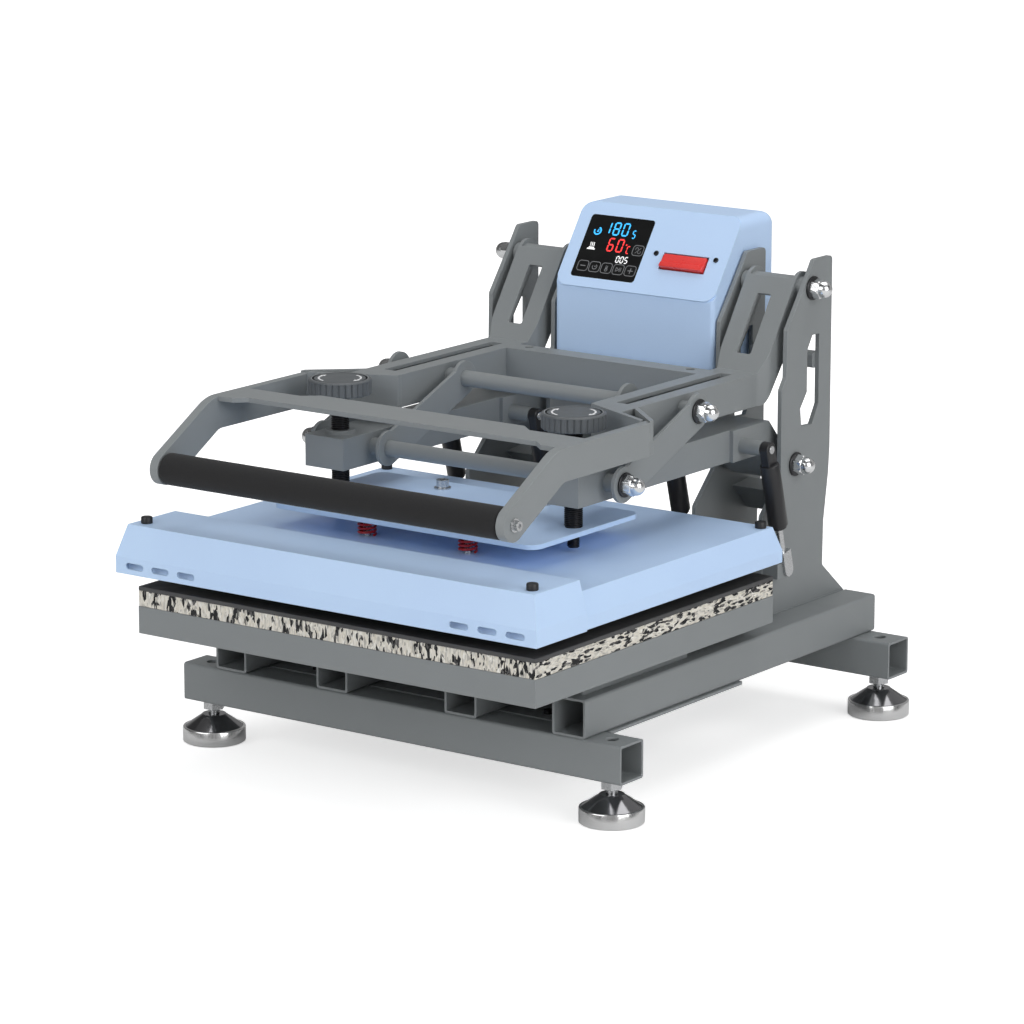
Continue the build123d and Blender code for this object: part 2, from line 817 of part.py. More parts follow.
for name, flip in (("lever_arm_left", True), ("lever_arm_right", False)):
    with BuildPart() as lever_arm:
        with BuildSketch(side(rise_in)) as lever_face:
            with BuildLine():
                Polyline(
                    (arm_start_y, lever_bottom),
                    (arm_start_y, lever_top),
                    lever_bend,
                    outer_end,
                    inner_end,
                    lever_heel,
                    close=True,
                )
            make_face()
            heel = lever_face.vertices().sort_by_distance((lever_heel[0], lever_heel[1]))[0]
            fillet(heel, lever_heel_radius)
            with Locations(end_centre):
                Circle(lever_end_radius)
        extrude(amount=rise_out - rise_in)
        with BuildSketch(Plane.XY.offset(lever_bottom)) as outer_plan:
            with BuildLine():
                Polyline(*arm_plan(arm_start_y, 0), close=True)
            make_face()
            fillet(flare_corners(outer_plan), flare_radius)
        extrude(amount=lever_pivot[1], mode=Mode.INTERSECT)
        add(arm_space.part, mode=Mode.SUBTRACT)
        with BuildSketch(Plane.XY.offset(lever_top - 2 * lever_wall)):
            with Locations((arm_x, slot_centre_y)):
                RectangleRounded(lever_slot_width, lever_slot_rear - lever_slot_front, slot_corner)
        extrude(amount=3 * lever_wall, mode=Mode.SUBTRACT)
        with BuildSketch(slot_plane.offset(-2 * lever_wall)):
            RectangleRounded(rise_slot_end - rise_slot_start, rise_slot_width, slot_corner)
        extrude(amount=3 * lever_wall, mode=Mode.SUBTRACT)
        with BuildSketch(Plane.XY.offset(lever_bottom)):
            with BuildLine():
                Polyline(
                    (arm_in, transverse_y(arm_in) + transverse_depth),
                    (arm_out, transverse_y(arm_out) + transverse_depth),
                    (arm_out, arm_start_y),
                    (arm_in, arm_start_y),
                    close=True,
                )
            make_face()
        extrude(amount=lever_depth, mode=Mode.SUBTRACT)
        disc(side(lever_hub_in), lever_pivot, lever_tube_radius, lever_hub_out - lever_hub_in)
        boss_length = link_out_inner - link_in_outer - 2 * side_gap
        disc(side(link_in_outer + side_gap), upper_link, link_boss_radius, boss_length)
        drill(side(lever_hub_in), lever_pivot, pin_radius + running_gap, lever_hub_out - lever_hub_in)
        drill(side(link_in_outer), upper_link, pin_radius + running_gap, link_out_inner - link_in_outer)
        if flip:
            mirror(about=Plane.YZ, mode=Mode.REPLACE)
    keep(lever_arm, name)

with BuildPart() as lever_beam:
    with BuildSketch(side(-arm_in)):
        with Locations((beam_front + beam_depth / 2, lever_top - lever_depth / 2)):
            Rectangle(beam_depth, lever_depth)
            Rectangle(beam_depth - 2 * beam_wall, lever_depth - 2 * beam_wall, mode=Mode.SUBTRACT)
    extrude(amount=2 * arm_in)
    for x in (-beam_hole_x, beam_hole_x):
        hole_place = (x, beam_front + beam_hole_back)
        drill(Plane.XY.offset(lever_top - beam_wall), hole_place, beam_hole_radius, beam_wall)
keep(lever_beam, "lever_beam")

with BuildPart() as corner_plates:
    with BuildSketch(Plane.XY.offset(lever_bottom)):
        with BuildLine():
            Polyline(
                (arm_in, transverse_y(arm_in)),
                (handle_inner_x, transverse_y(handle_inner_x)),
                (handle_inner_x, transverse_y(handle_inner_x) + transverse_depth),
                (arm_in, transverse_y(arm_in) + transverse_depth),
                close=True,
            )
        make_face()
        with BuildLine():
            Polyline(
                (arm_out, diagonal_y(arm_out)),
                (handle_outer_x, diagonal_y(handle_outer_x)),
                (handle_outer_x, diagonal_y(handle_outer_x) + diagonal_depth),
                (arm_out, diagonal_y(arm_out) + diagonal_depth),
                close=True,
            )
        make_face()
    extrude(amount=lever_depth)
    mirror(about=Plane.YZ)
keep(corner_plates, "corner_plates")

# Handle: side plates, cross plate and grip
handle_mid = lever_top - handle_top_below_lever - handle_plate_width / 2
grip_centre = (grip_y, handle_mid - grip_drop)
handle_rear = diagonal_y(handle_inner_x) + diagonal_depth
with BuildPart() as handle_plates:
    with BuildSketch(side(handle_inner_x)):
        with BuildLine() as handle_line:
            Polyline(grip_centre, (handle_bend_y, handle_mid), (handle_rear, handle_mid))
            fillet(handle_line.vertices().sort_by(Axis.X)[1], handle_plate_width)
        trace(line_width=handle_plate_width)
        with Locations(grip_centre):
            Circle(handle_plate_width / 2)
            Circle(handle_shank_radius, mode=Mode.SUBTRACT)
    extrude(amount=handle_plate_thick)
    with BuildSketch(Plane.XY.offset(handle_mid - handle_plate_width)):
        with BuildLine():
            Polyline(
                (handle_inner_x, diagonal_y(handle_inner_x)),
                (handle_outer_x, diagonal_y(handle_outer_x)),
                (handle_outer_x, handle_rear),
                (handle_inner_x, handle_rear),
                close=True,
            )
        make_face()
    extrude(amount=2 * handle_plate_width, mode=Mode.SUBTRACT)
    mirror(about=Plane.YZ)
keep(handle_plates, "handle_plates")

front_edge = cross_plate_outline + [(-x, y) for x, y in reversed(cross_plate_outline)]
rear_edge = [(-x, y) for x, y in cross_plate_rear_outline] + list(reversed(cross_plate_rear_outline))
with BuildPart() as cross_plate:
    with BuildSketch(Plane.XY.offset(lever_top - handle_top_below_lever - cross_plate_thick)):
        with BuildLine():
            Polyline(*front_edge, *rear_edge, close=True)
        make_face()
    extrude(amount=cross_plate_thick)
keep(cross_plate, "cross_plate")

with BuildPart() as grip_tube:
    plug_start = handle_inner_x - handle_shank_length
    disc(side(-handle_inner_x), grip_centre, grip_tube_radius, 2 * handle_inner_x)
    drill(side(-handle_inner_x), grip_centre, handle_shank_radius, 2 * handle_inner_x)
    drill(side(-plug_start), grip_centre, grip_tube_radius - grip_tube_wall, 2 * plug_start)
keep(grip_tube, "grip_tube")

with BuildPart() as foam_grip:
    disc(side(grip_end_gap - handle_inner_x), grip_centre, grip_radius, 2 * (handle_inner_x - grip_end_gap))
    drill(side(-handle_inner_x), grip_centre, grip_tube_radius, 2 * handle_inner_x)
keep(foam_grip, "foam_grip")

with BuildPart() as handle_screws:
    head_start = handle_outer_x + handle_washer_thick
    disc(side(handle_outer_x), grip_centre, handle_washer_radius, handle_washer_thick)
    disc(side(head_start), grip_centre, handle_screw_radius, handle_screw_height)
    shank_start = handle_inner_x - handle_shank_length
    disc(side(shank_start), grip_centre, handle_shank_radius, head_start - shank_start)
    with BuildSketch(side(head_start + handle_screw_height)):
        with Locations(grip_centre):
            RegularPolygon(handle_socket_flats / 2, 6, major_radius=False)
    extrude(amount=-handle_socket_depth, mode=Mode.SUBTRACT)
    mirror(about=Plane.YZ)
keep(handle_screws, "handle_screws")

# Gas springs, four alike: a cylinder on the carrier, a rod and fork on the upright
gas_angle = degrees(atan2(gas_eye[1] - gas_foot[1], gas_eye[0] - gas_foot[0]))
gas_length = hypot(gas_eye[0] - gas_foot[0], gas_eye[1] - gas_foot[1])
gas_x_outer = gas_outer_boss_end + side_gap + gas_eye_width / 2
gas_x_inner = gas_inner_boss_end - side_gap - gas_eye_width / 2
gas_direction = (0, cos(gas_angle * pi / 180), sin(gas_angle * pi / 180))
gas_fork_gap = gas_lug_thick + 2 * side_gap
gas_fork_width = gas_fork_gap + 2 * gas_fork_thick
gas_xs = [gas_x_outer, gas_x_inner, -gas_x_inner, -gas_x_outer]


def gas_plane(x, distance):
    """Plane square to a gas spring, at a distance up from its foot pin."""
    foot = Vector(x, gas_foot[0], gas_foot[1]) + Vector(*gas_direction) * distance
    return Plane(foot, x_dir=(1, 0, 0), z_dir=gas_direction)


gas_tube_top = gas_length - gas_neck_length
gas_tube_bottom = gas_tube_top - gas_tube_length
with BuildPart() as gas_cylinders:
    for x in gas_xs:
        disc(side(x - gas_eye_width / 2), gas_eye, gas_eye_radius, gas_eye_width)
        with BuildSketch(gas_plane(x, gas_tube_top)):
            Rectangle(gas_eye_width, 1.6 * gas_eye_radius)
        extrude(amount=gas_neck_length)
        disc(gas_plane(x, gas_tube_bottom), (0, 0), gas_tube_radius, gas_tube_length)
        drill(gas_plane(x, gas_tube_bottom), (0, 0), gas_rod_radius + running_gap, gas_bore_depth)
keep(gas_cylinders, "gas_cylinders")

# Each rod ends in a fork with its pin
rod_length = gas_tube_bottom + gas_rod_inside - gas_clevis_length
with BuildPart() as gas_rods:
    for x in gas_xs:
        with BuildSketch(gas_plane(x, 0)):
            Rectangle(gas_fork_width, 2 * gas_clevis_radius)
        extrude(amount=gas_clevis_length)
        disc(side(x - gas_fork_width / 2), gas_foot, gas_clevis_radius, gas_fork_width)
        with BuildSketch(gas_plane(x, -2 * gas_clevis_radius)):
            Rectangle(gas_fork_gap, 4 * gas_clevis_radius)
        extrude(amount=gas_clevis_length + gas_clevis_radius, mode=Mode.SUBTRACT)
        disc(side(x - gas_fork_width / 2), gas_foot, gas_pin_radius, gas_fork_width)
        disc(gas_plane(x, gas_clevis_length), (0, 0), gas_rod_radius, rod_length)
keep(gas_rods, "gas_rods")

strap_rear = gas_foot[0] - gas_strap_front + gas_strap_thick
with BuildPart() as gas_brackets:
    for x, wall_x in ((gas_x_outer, upright_out_outer), (gas_x_inner, upright_in_inner)):
        lug_far = x + gas_lug_thick / 2 if x > wall_x else x - gas_lug_thick / 2
        with BuildSketch(Plane.XY.offset(gas_foot[1] - gas_strap_height / 2)):
            with Locations(((wall_x + lug_far) / 2, strap_rear - gas_strap_thick / 2)):
                Rectangle(abs(lug_far - wall_x), gas_strap_thick)
            with Locations((x, (strap_rear - gas_strap_thick + gas_foot[0]) / 2)):
                Rectangle(gas_lug_thick, gas_foot[0] - strap_rear + gas_strap_thick)
        extrude(amount=gas_strap_height)
        disc(side(x - gas_lug_thick / 2), gas_foot, gas_lug_radius, gas_lug_thick)
        drill(side(x - gas_lug_thick / 2), gas_foot, gas_pin_radius + running_gap, gas_lug_thick)
    mirror(about=Plane.YZ)
keep(gas_brackets, "gas_brackets")

# Pressure plate with its guide bolts
stud_places = [(-arm_x, screw_y), (arm_x, screw_y)]
with BuildPart() as pressure_plate:
    with BuildSketch(Plane.XY.offset(plate_bottom)):
        with Locations((0, screw_y)):
            RectangleRounded(pressure_plate_width, pressure_plate_depth, pressure_plate_corner)
            with GridLocations(spring_square, spring_square, 2, 2):
                Circle(guide_radius + slip_gap, mode=Mode.SUBTRACT)
        with Locations(*stud_places):
            Circle(spigot_radius + slip_gap, mode=Mode.SUBTRACT)
    extrude(amount=pressure_plate_thick)
keep(pressure_plate, "pressure_plate")

guide_top = plate_top + guide_washer_thick
with BuildPart() as guide_bolts:
    with Locations((0, screw_y)):
        with GridLocations(spring_square, spring_square, 2, 2):
            with Locations((0, 0, heat_top - guide_engagement)):
                Cylinder(
                    guide_radius, guide_top - heat_top + guide_engagement,
                    align=(Align.CENTER, Align.CENTER, Align.MIN),
                )
            with Locations((0, 0, guide_top)):
                Cylinder(guide_head_radius, guide_head_height, align=(Align.CENTER, Align.CENTER, Align.MIN))
            with Locations((0, 0, plate_top)):
                Cylinder(
                    guide_washer_radius, guide_washer_thick,
                    align=(Align.CENTER, Align.CENTER, Align.MIN),
                )
    with BuildSketch(Plane.XY.offset(guide_top + guide_head_height)):
        with Locations((0, screw_y)):
            with GridLocations(spring_square, spring_square, 2, 2):
                RegularPolygon(guide_socket_flats / 2, 6, major_radius=False)
    extrude(amount=-guide_socket_depth, mode=Mode.SUBTRACT)
keep(guide_bolts, "guide_bolts")


def spring_point(turn, low, rise):
    """Centre of the wire and its direction after a number of turns."""
    angle = 2 * pi * turn
    radius = spring_radius - wire_radius
    place = Vector(radius * cos(angle), radius * sin(angle), low + rise * turn)
    heading = Vector(-radius * sin(angle), radius * cos(angle), rise / (2 * pi)).normalized()
    return place, heading


def biarc(start, heading, end, end_heading):
    """Two tangent arcs that join two points with given headings."""
    span = end - start
    both = heading + end_heading
    a = both.dot(both) - 4
    b = -2 * span.dot(both)
    c = span.dot(span)
    reach = (-b - sqrt(b * b - 4 * a * c)) / (2 * a)
    first = start + heading * reach
    second = end - end_heading * reach
    middle = (first + second) * 0.5
    middle_heading = (second - first).normalized()
    return [
        TangentArc(start, middle, tangent=heading),
        TangentArc(middle, end, tangent=middle_heading),
    ]


coil_low = cover_top + wire_radius + spring_end_gap
coil_rise = (spring_space - 2 * wire_radius - 2 * spring_end_gap) / spring_turns
quarters = round(spring_turns * 4)
half_square = spring_square / 2
with BuildPart() as platen_springs:
    for sx, sy in ((-1, -1), (1, -1), (-1, 1), (1, 1)):
        centre = Vector(sx * half_square, screw_y + sy * half_square, 0)
        with BuildLine() as coil:
            for quarter in range(quarters):
                start, heading = spring_point(quarter / 4, coil_low, coil_rise)
                end, end_heading = spring_point((quarter + 1) / 4, coil_low, coil_rise)
                biarc(start + centre, heading, end + centre, end_heading)
        first_point, first_heading = spring_point(0, coil_low, coil_rise)
        with BuildSketch(Plane(first_point + centre, z_dir=first_heading)):
            Circle(wire_radius)
        sweep(path=coil.line)
keep(platen_springs, "platen_springs")

steps_per_turn = 48
samples = [
    spring_point(step / steps_per_turn, coil_low, coil_rise)[0]
    for step in range(ceil(spring_turns * steps_per_turn) + 1)
]
least_gap = min(
    (samples[i] - samples[j]).length
    for i in range(len(samples))
    for j in range(i + steps_per_turn // 2, len(samples))
) - 2 * wire_radius
print(f"spring: {spring_turns} turns, least gap to itself {least_gap:.2f} mm")

# Heat platen: heating plate, insulation, cover and front guard
with BuildPart() as heat_plate:
    with BuildSketch(Plane.XY.offset(heat_bottom)):
        with Locations((0, platen_y)):
            Rectangle(board_width, board_depth)
    extrude(amount=heat_plate_thick)
    with Locations((0, screw_y, heat_top)):
        with GridLocations(spring_square, spring_square, 2, 2):
            Hole(guide_radius, depth=guide_engagement)
keep(heat_plate, "heat_plate")

with BuildPart() as insulation:
    with BuildSketch(Plane.XY.offset(heat_top)):
        with Locations((0, platen_y)):
            Rectangle(board_width - 2 * wool_inset, board_depth - 2 * wool_inset)
        with Locations((0, screw_y)):
            with GridLocations(spring_square, spring_square, 2, 2):
                Circle(guide_radius + slip_gap, mode=Mode.SUBTRACT)
    extrude(amount=wool_thick)
keep(insulation, "insulation")

cover_half = board_width / 2 + cover_flare
cover_front = board_front - cover_front_margin
cover_rear = board_front + board_depth + cover_rear_margin
cover_middle = (cover_front + cover_rear) / 2
bevel_start = cover_bottom + cover_skirt


with BuildPart() as cover:
    for shrink, mode in ((0, Mode.ADD), (sheet, Mode.SUBTRACT)):
        low = cover_bottom - (1 if shrink else 0)
        width = 2 * (cover_half - shrink)
        depth = cover_rear - cover_front - 2 * shrink
        with BuildSketch(Plane.XY.offset(low)):
            with Locations((0, cover_middle)):
                Rectangle(width, depth)
        extrude(amount=bevel_start - low, mode=mode)
        with BuildSketch(Plane.XY.offset(bevel_start)):
            with Locations((0, cover_middle)):
                Rectangle(width, depth)
        with BuildSketch(Plane.XY.offset(cover_top - shrink)):
            with Locations((0, cover_middle)):
                Rectangle(width - 2 * cover_flare, depth - 2 * cover_flare)
        loft(mode=mode)
    with Locations((0, screw_y, cover_top)):
        with GridLocations(spring_square, spring_square, 2, 2):
            Hole(guide_radius, depth=2 * sheet)
keep(cover, "platen_cover")

guard_front = board_front - guard_nose_reach
guard_break = guard_bottom + guard_strip
guard_top_half_width = board_width / 2 + guard_top_margin
guard_half = guard_top_half_width + guard_flare
vent_x = guard_half - vent_end_inset
with BuildPart() as guard:
    for shrink, mode in ((0, Mode.ADD), (sheet, Mode.SUBTRACT)):
        low = guard_bottom - (1 if shrink else 0)
        rear = guard_top_rear - shrink
        nose = guard_front + shrink
        with BuildSketch(Plane.XY.offset(low)):
            with Locations((0, (nose + rear) / 2)):
                Rectangle(2 * (guard_half - shrink), rear - nose)
        extrude(amount=guard_break - low, mode=mode)
        top_nose = nose + guard_slope_back
        with BuildSketch(Plane.XY.offset(guard_break)):
            with Locations((0, (nose + rear) / 2)):
                Rectangle(2 * (guard_half - shrink), rear - nose)
        with BuildSketch(Plane.XY.offset(guard_top - shrink)):
            with Locations((0, (top_nose + rear) / 2)):
                Rectangle(2 * (guard_top_half_width - shrink), rear - top_nose)
        loft(mode=mode)
    with BuildSketch(Plane.XZ.offset(-guard_top_rear)):
        with Locations((0, (guard_bottom + cover_top) / 2)):
            Rectangle(2 * (cover_half + pass_gap), cover_top - guard_bottom)
    extrude(amount=2 * sheet, both=True, mode=Mode.SUBTRACT)
    with BuildSketch(Plane.XZ.offset(-guard_front + sheet)):
        for direction in (-1, 1):
            for index in range(vent_count):
                with Locations((direction * (vent_x - index * vent_pitch), guard_bottom + guard_strip / 2)):
                    SlotOverall(vent_length, vent_height)
    extrude(amount=-3 * sheet, mode=Mode.SUBTRACT)
keep(guard, "platen_guard")

front_cap_x = guard_top_half_width - cap_inset_x
rear_cap_x = cover_half - cover_flare - cap_inset_x + guard_top_margin
front_cap_y = guard_front + guard_slope_back + cap_front_in
rear_cap_y = cover_rear - cover_flare - cap_rear_in
with BuildPart() as platen_caps:
    for direction in (-1, 1):
        disc(Plane.XY.offset(guard_top), (direction * front_cap_x, front_cap_y), cap_radius, cap_height)
        disc(Plane.XY.offset(cover_top), (direction * rear_cap_x, rear_cap_y), cap_radius, cap_height)
keep(platen_caps, "platen_caps")

# Pressure screws and their knobs
knob_bottom = carrier_top + knob_above_arm
for name, x in (("left", -arm_x), ("right", arm_x)):
    with BuildPart() as pressure_screw:
        disc(Plane.XY.offset(plate_top), (x, screw_y), screw_radius, knob_bottom - plate_top)
        spigot_start = plate_bottom - spigot_below_plate
        disc(Plane.XY.offset(spigot_start), (x, screw_y), spigot_radius, plate_top - spigot_start)
        disc(Plane.XY.offset(plate_bottom - slip_gap - clip_thick), (x, screw_y), clip_radius, clip_thick)
        disc(Plane.XY.offset(knob_bottom), (x, screw_y), spigot_radius, knob_socket_depth)
    keep(pressure_screw, "pressure_screw_" + name)

    with BuildPart() as knob:
        disc(Plane.XY.offset(knob_bottom), (x, screw_y), knob_radius, knob_height)
        chamfer(knob.edges().group_by(Axis.Z)[-1], knob_edge)
        with BuildSketch(Plane.XY.offset(knob_bottom)):
            with Locations((x, screw_y)):
                with PolarLocations(knob_radius, knob_flutes):
                    Circle(flute_radius)
        extrude(amount=knob_height - knob_edge, mode=Mode.SUBTRACT)
        drill(Plane.XY.offset(knob_bottom), (x, screw_y), spigot_radius, knob_socket_depth)
    keep(knob, "pressure_knob_" + name)

# Control box between the inner uprights
box_half_width = upright_in_inner - box_side_gap
box_bottom = carrier_pivot[1] + box_bottom_above_pivot
box_y0 = base_rear + box_front
box_y1 = base_rear + box_rear
sill = carrier_pivot[1] + box_sill
box_top = carrier_pivot[1] + box_height
panel_angle = atan2(box_top - sill, box_lean)
panel_length = hypot(box_lean, box_top - sill) - panel_thick * cos(panel_angle) / sin(panel_angle)
panel_plane = Plane(
    (0, box_y0, sill), x_dir=(1, 0, 0), z_dir=(0, -sin(panel_angle), cos(panel_angle)),
)
box_points = [
    (box_y0, box_bottom),
    (box_y0, sill),
    (box_y0 + box_lean, box_top),
    (box_y1, box_top),
    (box_y1, box_bottom),
]
panel_screw_places = [
    (rocker_x + spot, panel_screw_up) for spot in (-panel_screw_spacing / 2, panel_screw_spacing / 2)
]
mount_places = [
    ((box_y0 + box_y1) / 2 + offset_y, box_bottom + mount_bolt_up)
    for offset_y in (-mount_bolt_spacing / 2, mount_bolt_spacing / 2)
]


def case_form(inset):
    """The control box's form with rounded edges, inset from its outer faces."""
    with BuildPart() as form:
        with BuildSketch(side(inset - box_half_width)):
            with BuildLine():
                Polyline(*box_points, close=True)
            make_face()
            if inset:
                offset(amount=-inset, kind=Kind.INTERSECTION)
        extrude(amount=2 * (box_half_width - inset))
        fillet(form.edges().filter_by(Axis.Z).sort_by(Axis.Y)[:2], box_front_corner - inset)
        fillet(form.edges().filter_by(Axis.Z).sort_by(Axis.Y)[-2:], box_corner - inset)
        top = form.faces().sort_by(Axis.Z)[-1]
        fillet(top.edges().filter_by(Axis.Y), box_top_corner - inset)
    return form.part


case_outside = case_form(0)
case_inside = case_form(box_wall)
with BuildPart() as box_case:
    add(case_outside)
    add(case_inside, mode=Mode.SUBTRACT)
    with BuildSketch(panel_plane):
        with Locations((0, panel_length / 2)):
            Rectangle(2 * (box_half_width - panel_rim), panel_length - 2 * panel_rim)
        with Locations(*panel_screw_places):
            Circle(panel_screw_radius / 2)
    extrude(amount=-2 * box_wall, mode=Mode.SUBTRACT)
    with BuildSketch(Plane.XZ.offset(-box_y1)):
        with Locations((0, (box_bottom + box_top) / 2)):
            Rectangle(2 * (box_half_width - 2 * panel_rim), box_top - box_bottom - 4 * panel_rim)
    extrude(amount=box_wall, mode=Mode.SUBTRACT)
keep(box_case, "control_box")

with BuildPart() as front_panel:
    with BuildSketch(panel_plane):
        with Locations((0, panel_length / 2)):
            RectangleRounded(2 * box_half_width, panel_length, panel_corner)
        with Locations((screen_x, screen_up)):
            RectangleRounded(screen_width, screen_height, screen_corner, mode=Mode.SUBTRACT)
        with Locations((rocker_x, rocker_up)):
            Rectangle(rocker_width + 2 * rocker_gap, rocker_depth + 2 * rocker_gap, mode=Mode.SUBTRACT)
        with Locations(*panel_screw_places):
            Circle(panel_screw_radius / 2, mode=Mode.SUBTRACT)
    extrude(amount=panel_thick)
keep(front_panel, "control_panel")

with BuildPart() as screen:
    with BuildSketch(panel_plane.offset(panel_thick - screen_thick)):
        with Locations((screen_x, screen_up)):
            RectangleRounded(screen_width, screen_height, screen_corner)
    extrude(amount=screen_thick)
keep(screen, "display_screen")

with BuildPart() as panel_screws:
    for place in panel_screw_places:
        disc(panel_plane.offset(panel_thick), place, panel_screw_radius, panel_screw_head)
        shank_plane = panel_plane.offset(panel_thick - panel_screw_length)
        disc(shank_plane, place, panel_screw_radius / 2, panel_screw_length)
keep(panel_screws, "panel_screws")

rocker_axis_depth = panel_thick / 2
with BuildPart() as rocker:
    with BuildSketch(Plane(
        panel_plane.from_local_coords((rocker_x - rocker_width / 2, rocker_up, rocker_axis_depth)),
        x_dir=panel_plane.y_dir,
        z_dir=(1, 0, 0),
    )):
        with BuildLine():
            Polyline(
                (-rocker_depth / 2, -rocker_throw),
                (rocker_depth / 2, -rocker_throw),
                (rocker_depth / 2, rocker_axis_depth + rocker_proud / 2),
                (0, rocker_axis_depth + rocker_ridge),
                (-rocker_depth / 2, rocker_axis_depth + rocker_proud),
                close=True,
            )
        make_face()
    extrude(amount=rocker_width)
keep(rocker, "power_rocker")

with BuildPart() as rear_cover:
    with BuildSketch(Plane.XZ.offset(-box_y1 - box_wall)):
        with Locations((0, (box_bottom + box_top) / 2)):
            RectangleRounded(
                2 * (box_half_width - panel_rim), box_top - box_bottom - 2 * panel_rim, box_corner,
            )
        with Locations((0, box_bottom + inlet_above_bottom + inlet_height / 2)):
            Rectangle(inlet_width, inlet_height, mode=Mode.SUBTRACT)
    extrude(amount=box_wall)
keep(rear_cover, "box_rear_cover")

inlet_centre = (0, box_bottom + inlet_above_bottom + inlet_height / 2)
with BuildPart() as inlet:
    with BuildSketch(Plane.XZ.offset(-box_y1 - box_wall)):
        with Locations(inlet_centre):
            Rectangle(inlet_width, inlet_height)
    extrude(amount=inlet_depth)
    with BuildSketch(Plane.XZ.offset(-box_y1 - box_wall - 2 * sheet)):
        with Locations(inlet_centre):
            Rectangle(inlet_width + 2 * inlet_flange, inlet_height + 2 * inlet_flange)
    extrude(amount=2 * sheet)
    with BuildSketch(Plane.XZ.offset(-box_y1 - box_wall - 2 * sheet)):
        with Locations(inlet_centre):
            Rectangle(inlet_width - inlet_flange, inlet_height - inlet_flange)
    extrude(amount=inlet_depth - inlet_flange, mode=Mode.SUBTRACT)
    with BuildSketch(Plane.XZ.offset(-box_y1 - box_wall - sheet)):
        with Locations(inlet_centre):
            with Locations((-inlet_pin_spacing, 0), (inlet_pin_spacing, 0), (0, inlet_pin_spacing / 2)):
                Circle(inlet_pin_radius)
    extrude(amount=inlet_depth - inlet_flange)
keep(inlet, "power_inlet")

# Bolts of the frame: the box's side bolts and the pan's heads
mount_gap = upright_in_inner - box_half_width
with BuildPart() as frame_bolts:
    with BuildSketch(side(box_half_width)):
        with Locations(*mount_places):
            Circle(mount_bolt_radius)
    extrude(amount=mount_gap)
    disc(Plane.XY.offset(rail_bottom), (pan_bolt_spacing / 2, pan_bolt_y), pan_bolt_radius, pan_bolt_height)
    mirror(about=Plane.YZ)
keep(frame_bolts, "frame_bolts")

circuit_low = box_bottom + box_wall + circuit_standoff
with BuildPart() as circuit_board:
    with Locations((0, (box_y0 + box_y1) / 2, circuit_low)):
        Box(circuit_width, circuit_height, circuit_thick, align=(Align.CENTER, Align.CENTER, Align.MIN))
    with BuildSketch(Plane.XY.offset(box_bottom + box_wall)):
        with Locations((0, (box_y0 + box_y1) / 2)):
            with GridLocations(circuit_width - 2 * circuit_margin, circuit_height - 2 * circuit_margin, 2, 2):
                Circle(circuit_standoff_radius)
    extrude(amount=circuit_standoff)
keep(circuit_board, "circuit_board")
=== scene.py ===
import math

import bmesh
import bpy
from mathutils import Matrix, Vector


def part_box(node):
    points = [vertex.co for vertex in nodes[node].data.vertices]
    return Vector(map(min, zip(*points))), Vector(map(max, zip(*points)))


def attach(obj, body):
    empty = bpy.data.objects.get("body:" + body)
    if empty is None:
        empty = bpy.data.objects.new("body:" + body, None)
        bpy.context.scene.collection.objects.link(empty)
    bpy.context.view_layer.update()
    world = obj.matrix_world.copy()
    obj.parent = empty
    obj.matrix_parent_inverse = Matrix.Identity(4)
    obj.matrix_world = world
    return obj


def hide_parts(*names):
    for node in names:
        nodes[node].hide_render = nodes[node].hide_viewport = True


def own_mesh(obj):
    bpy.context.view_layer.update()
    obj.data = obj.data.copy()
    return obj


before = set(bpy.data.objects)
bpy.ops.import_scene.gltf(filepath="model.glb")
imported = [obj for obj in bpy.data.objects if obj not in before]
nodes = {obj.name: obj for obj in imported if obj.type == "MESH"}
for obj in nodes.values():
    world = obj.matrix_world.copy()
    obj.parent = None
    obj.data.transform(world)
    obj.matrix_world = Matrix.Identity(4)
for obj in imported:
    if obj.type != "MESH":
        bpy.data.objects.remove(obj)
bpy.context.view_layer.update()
scene = bpy.context.scene
MM = 0.001

# Camera, solved from the photograph: turned about Z, then tilted down
YAW, PITCH = math.radians(36.09), math.radians(12.87)
CAMERA_PLACE = (2.7617, -3.8028, 1.3176)
LENS, SENSOR = 162.7, 36.0
look = Vector((-math.sin(YAW) * math.cos(PITCH), math.cos(YAW) * math.cos(PITCH), -math.sin(PITCH)))
camera = bpy.data.objects.new("camera", bpy.data.cameras.new("camera"))
scene.collection.objects.link(camera)
camera.location = CAMERA_PLACE
camera.rotation_mode = "QUATERNION"
camera.rotation_quaternion = look.to_track_quat("-Z", "Y")
camera.data.lens = LENS
camera.data.sensor_width = SENSOR
camera.data.clip_start = 0.05
camera.data.clip_end = 60.0
scene.camera = camera


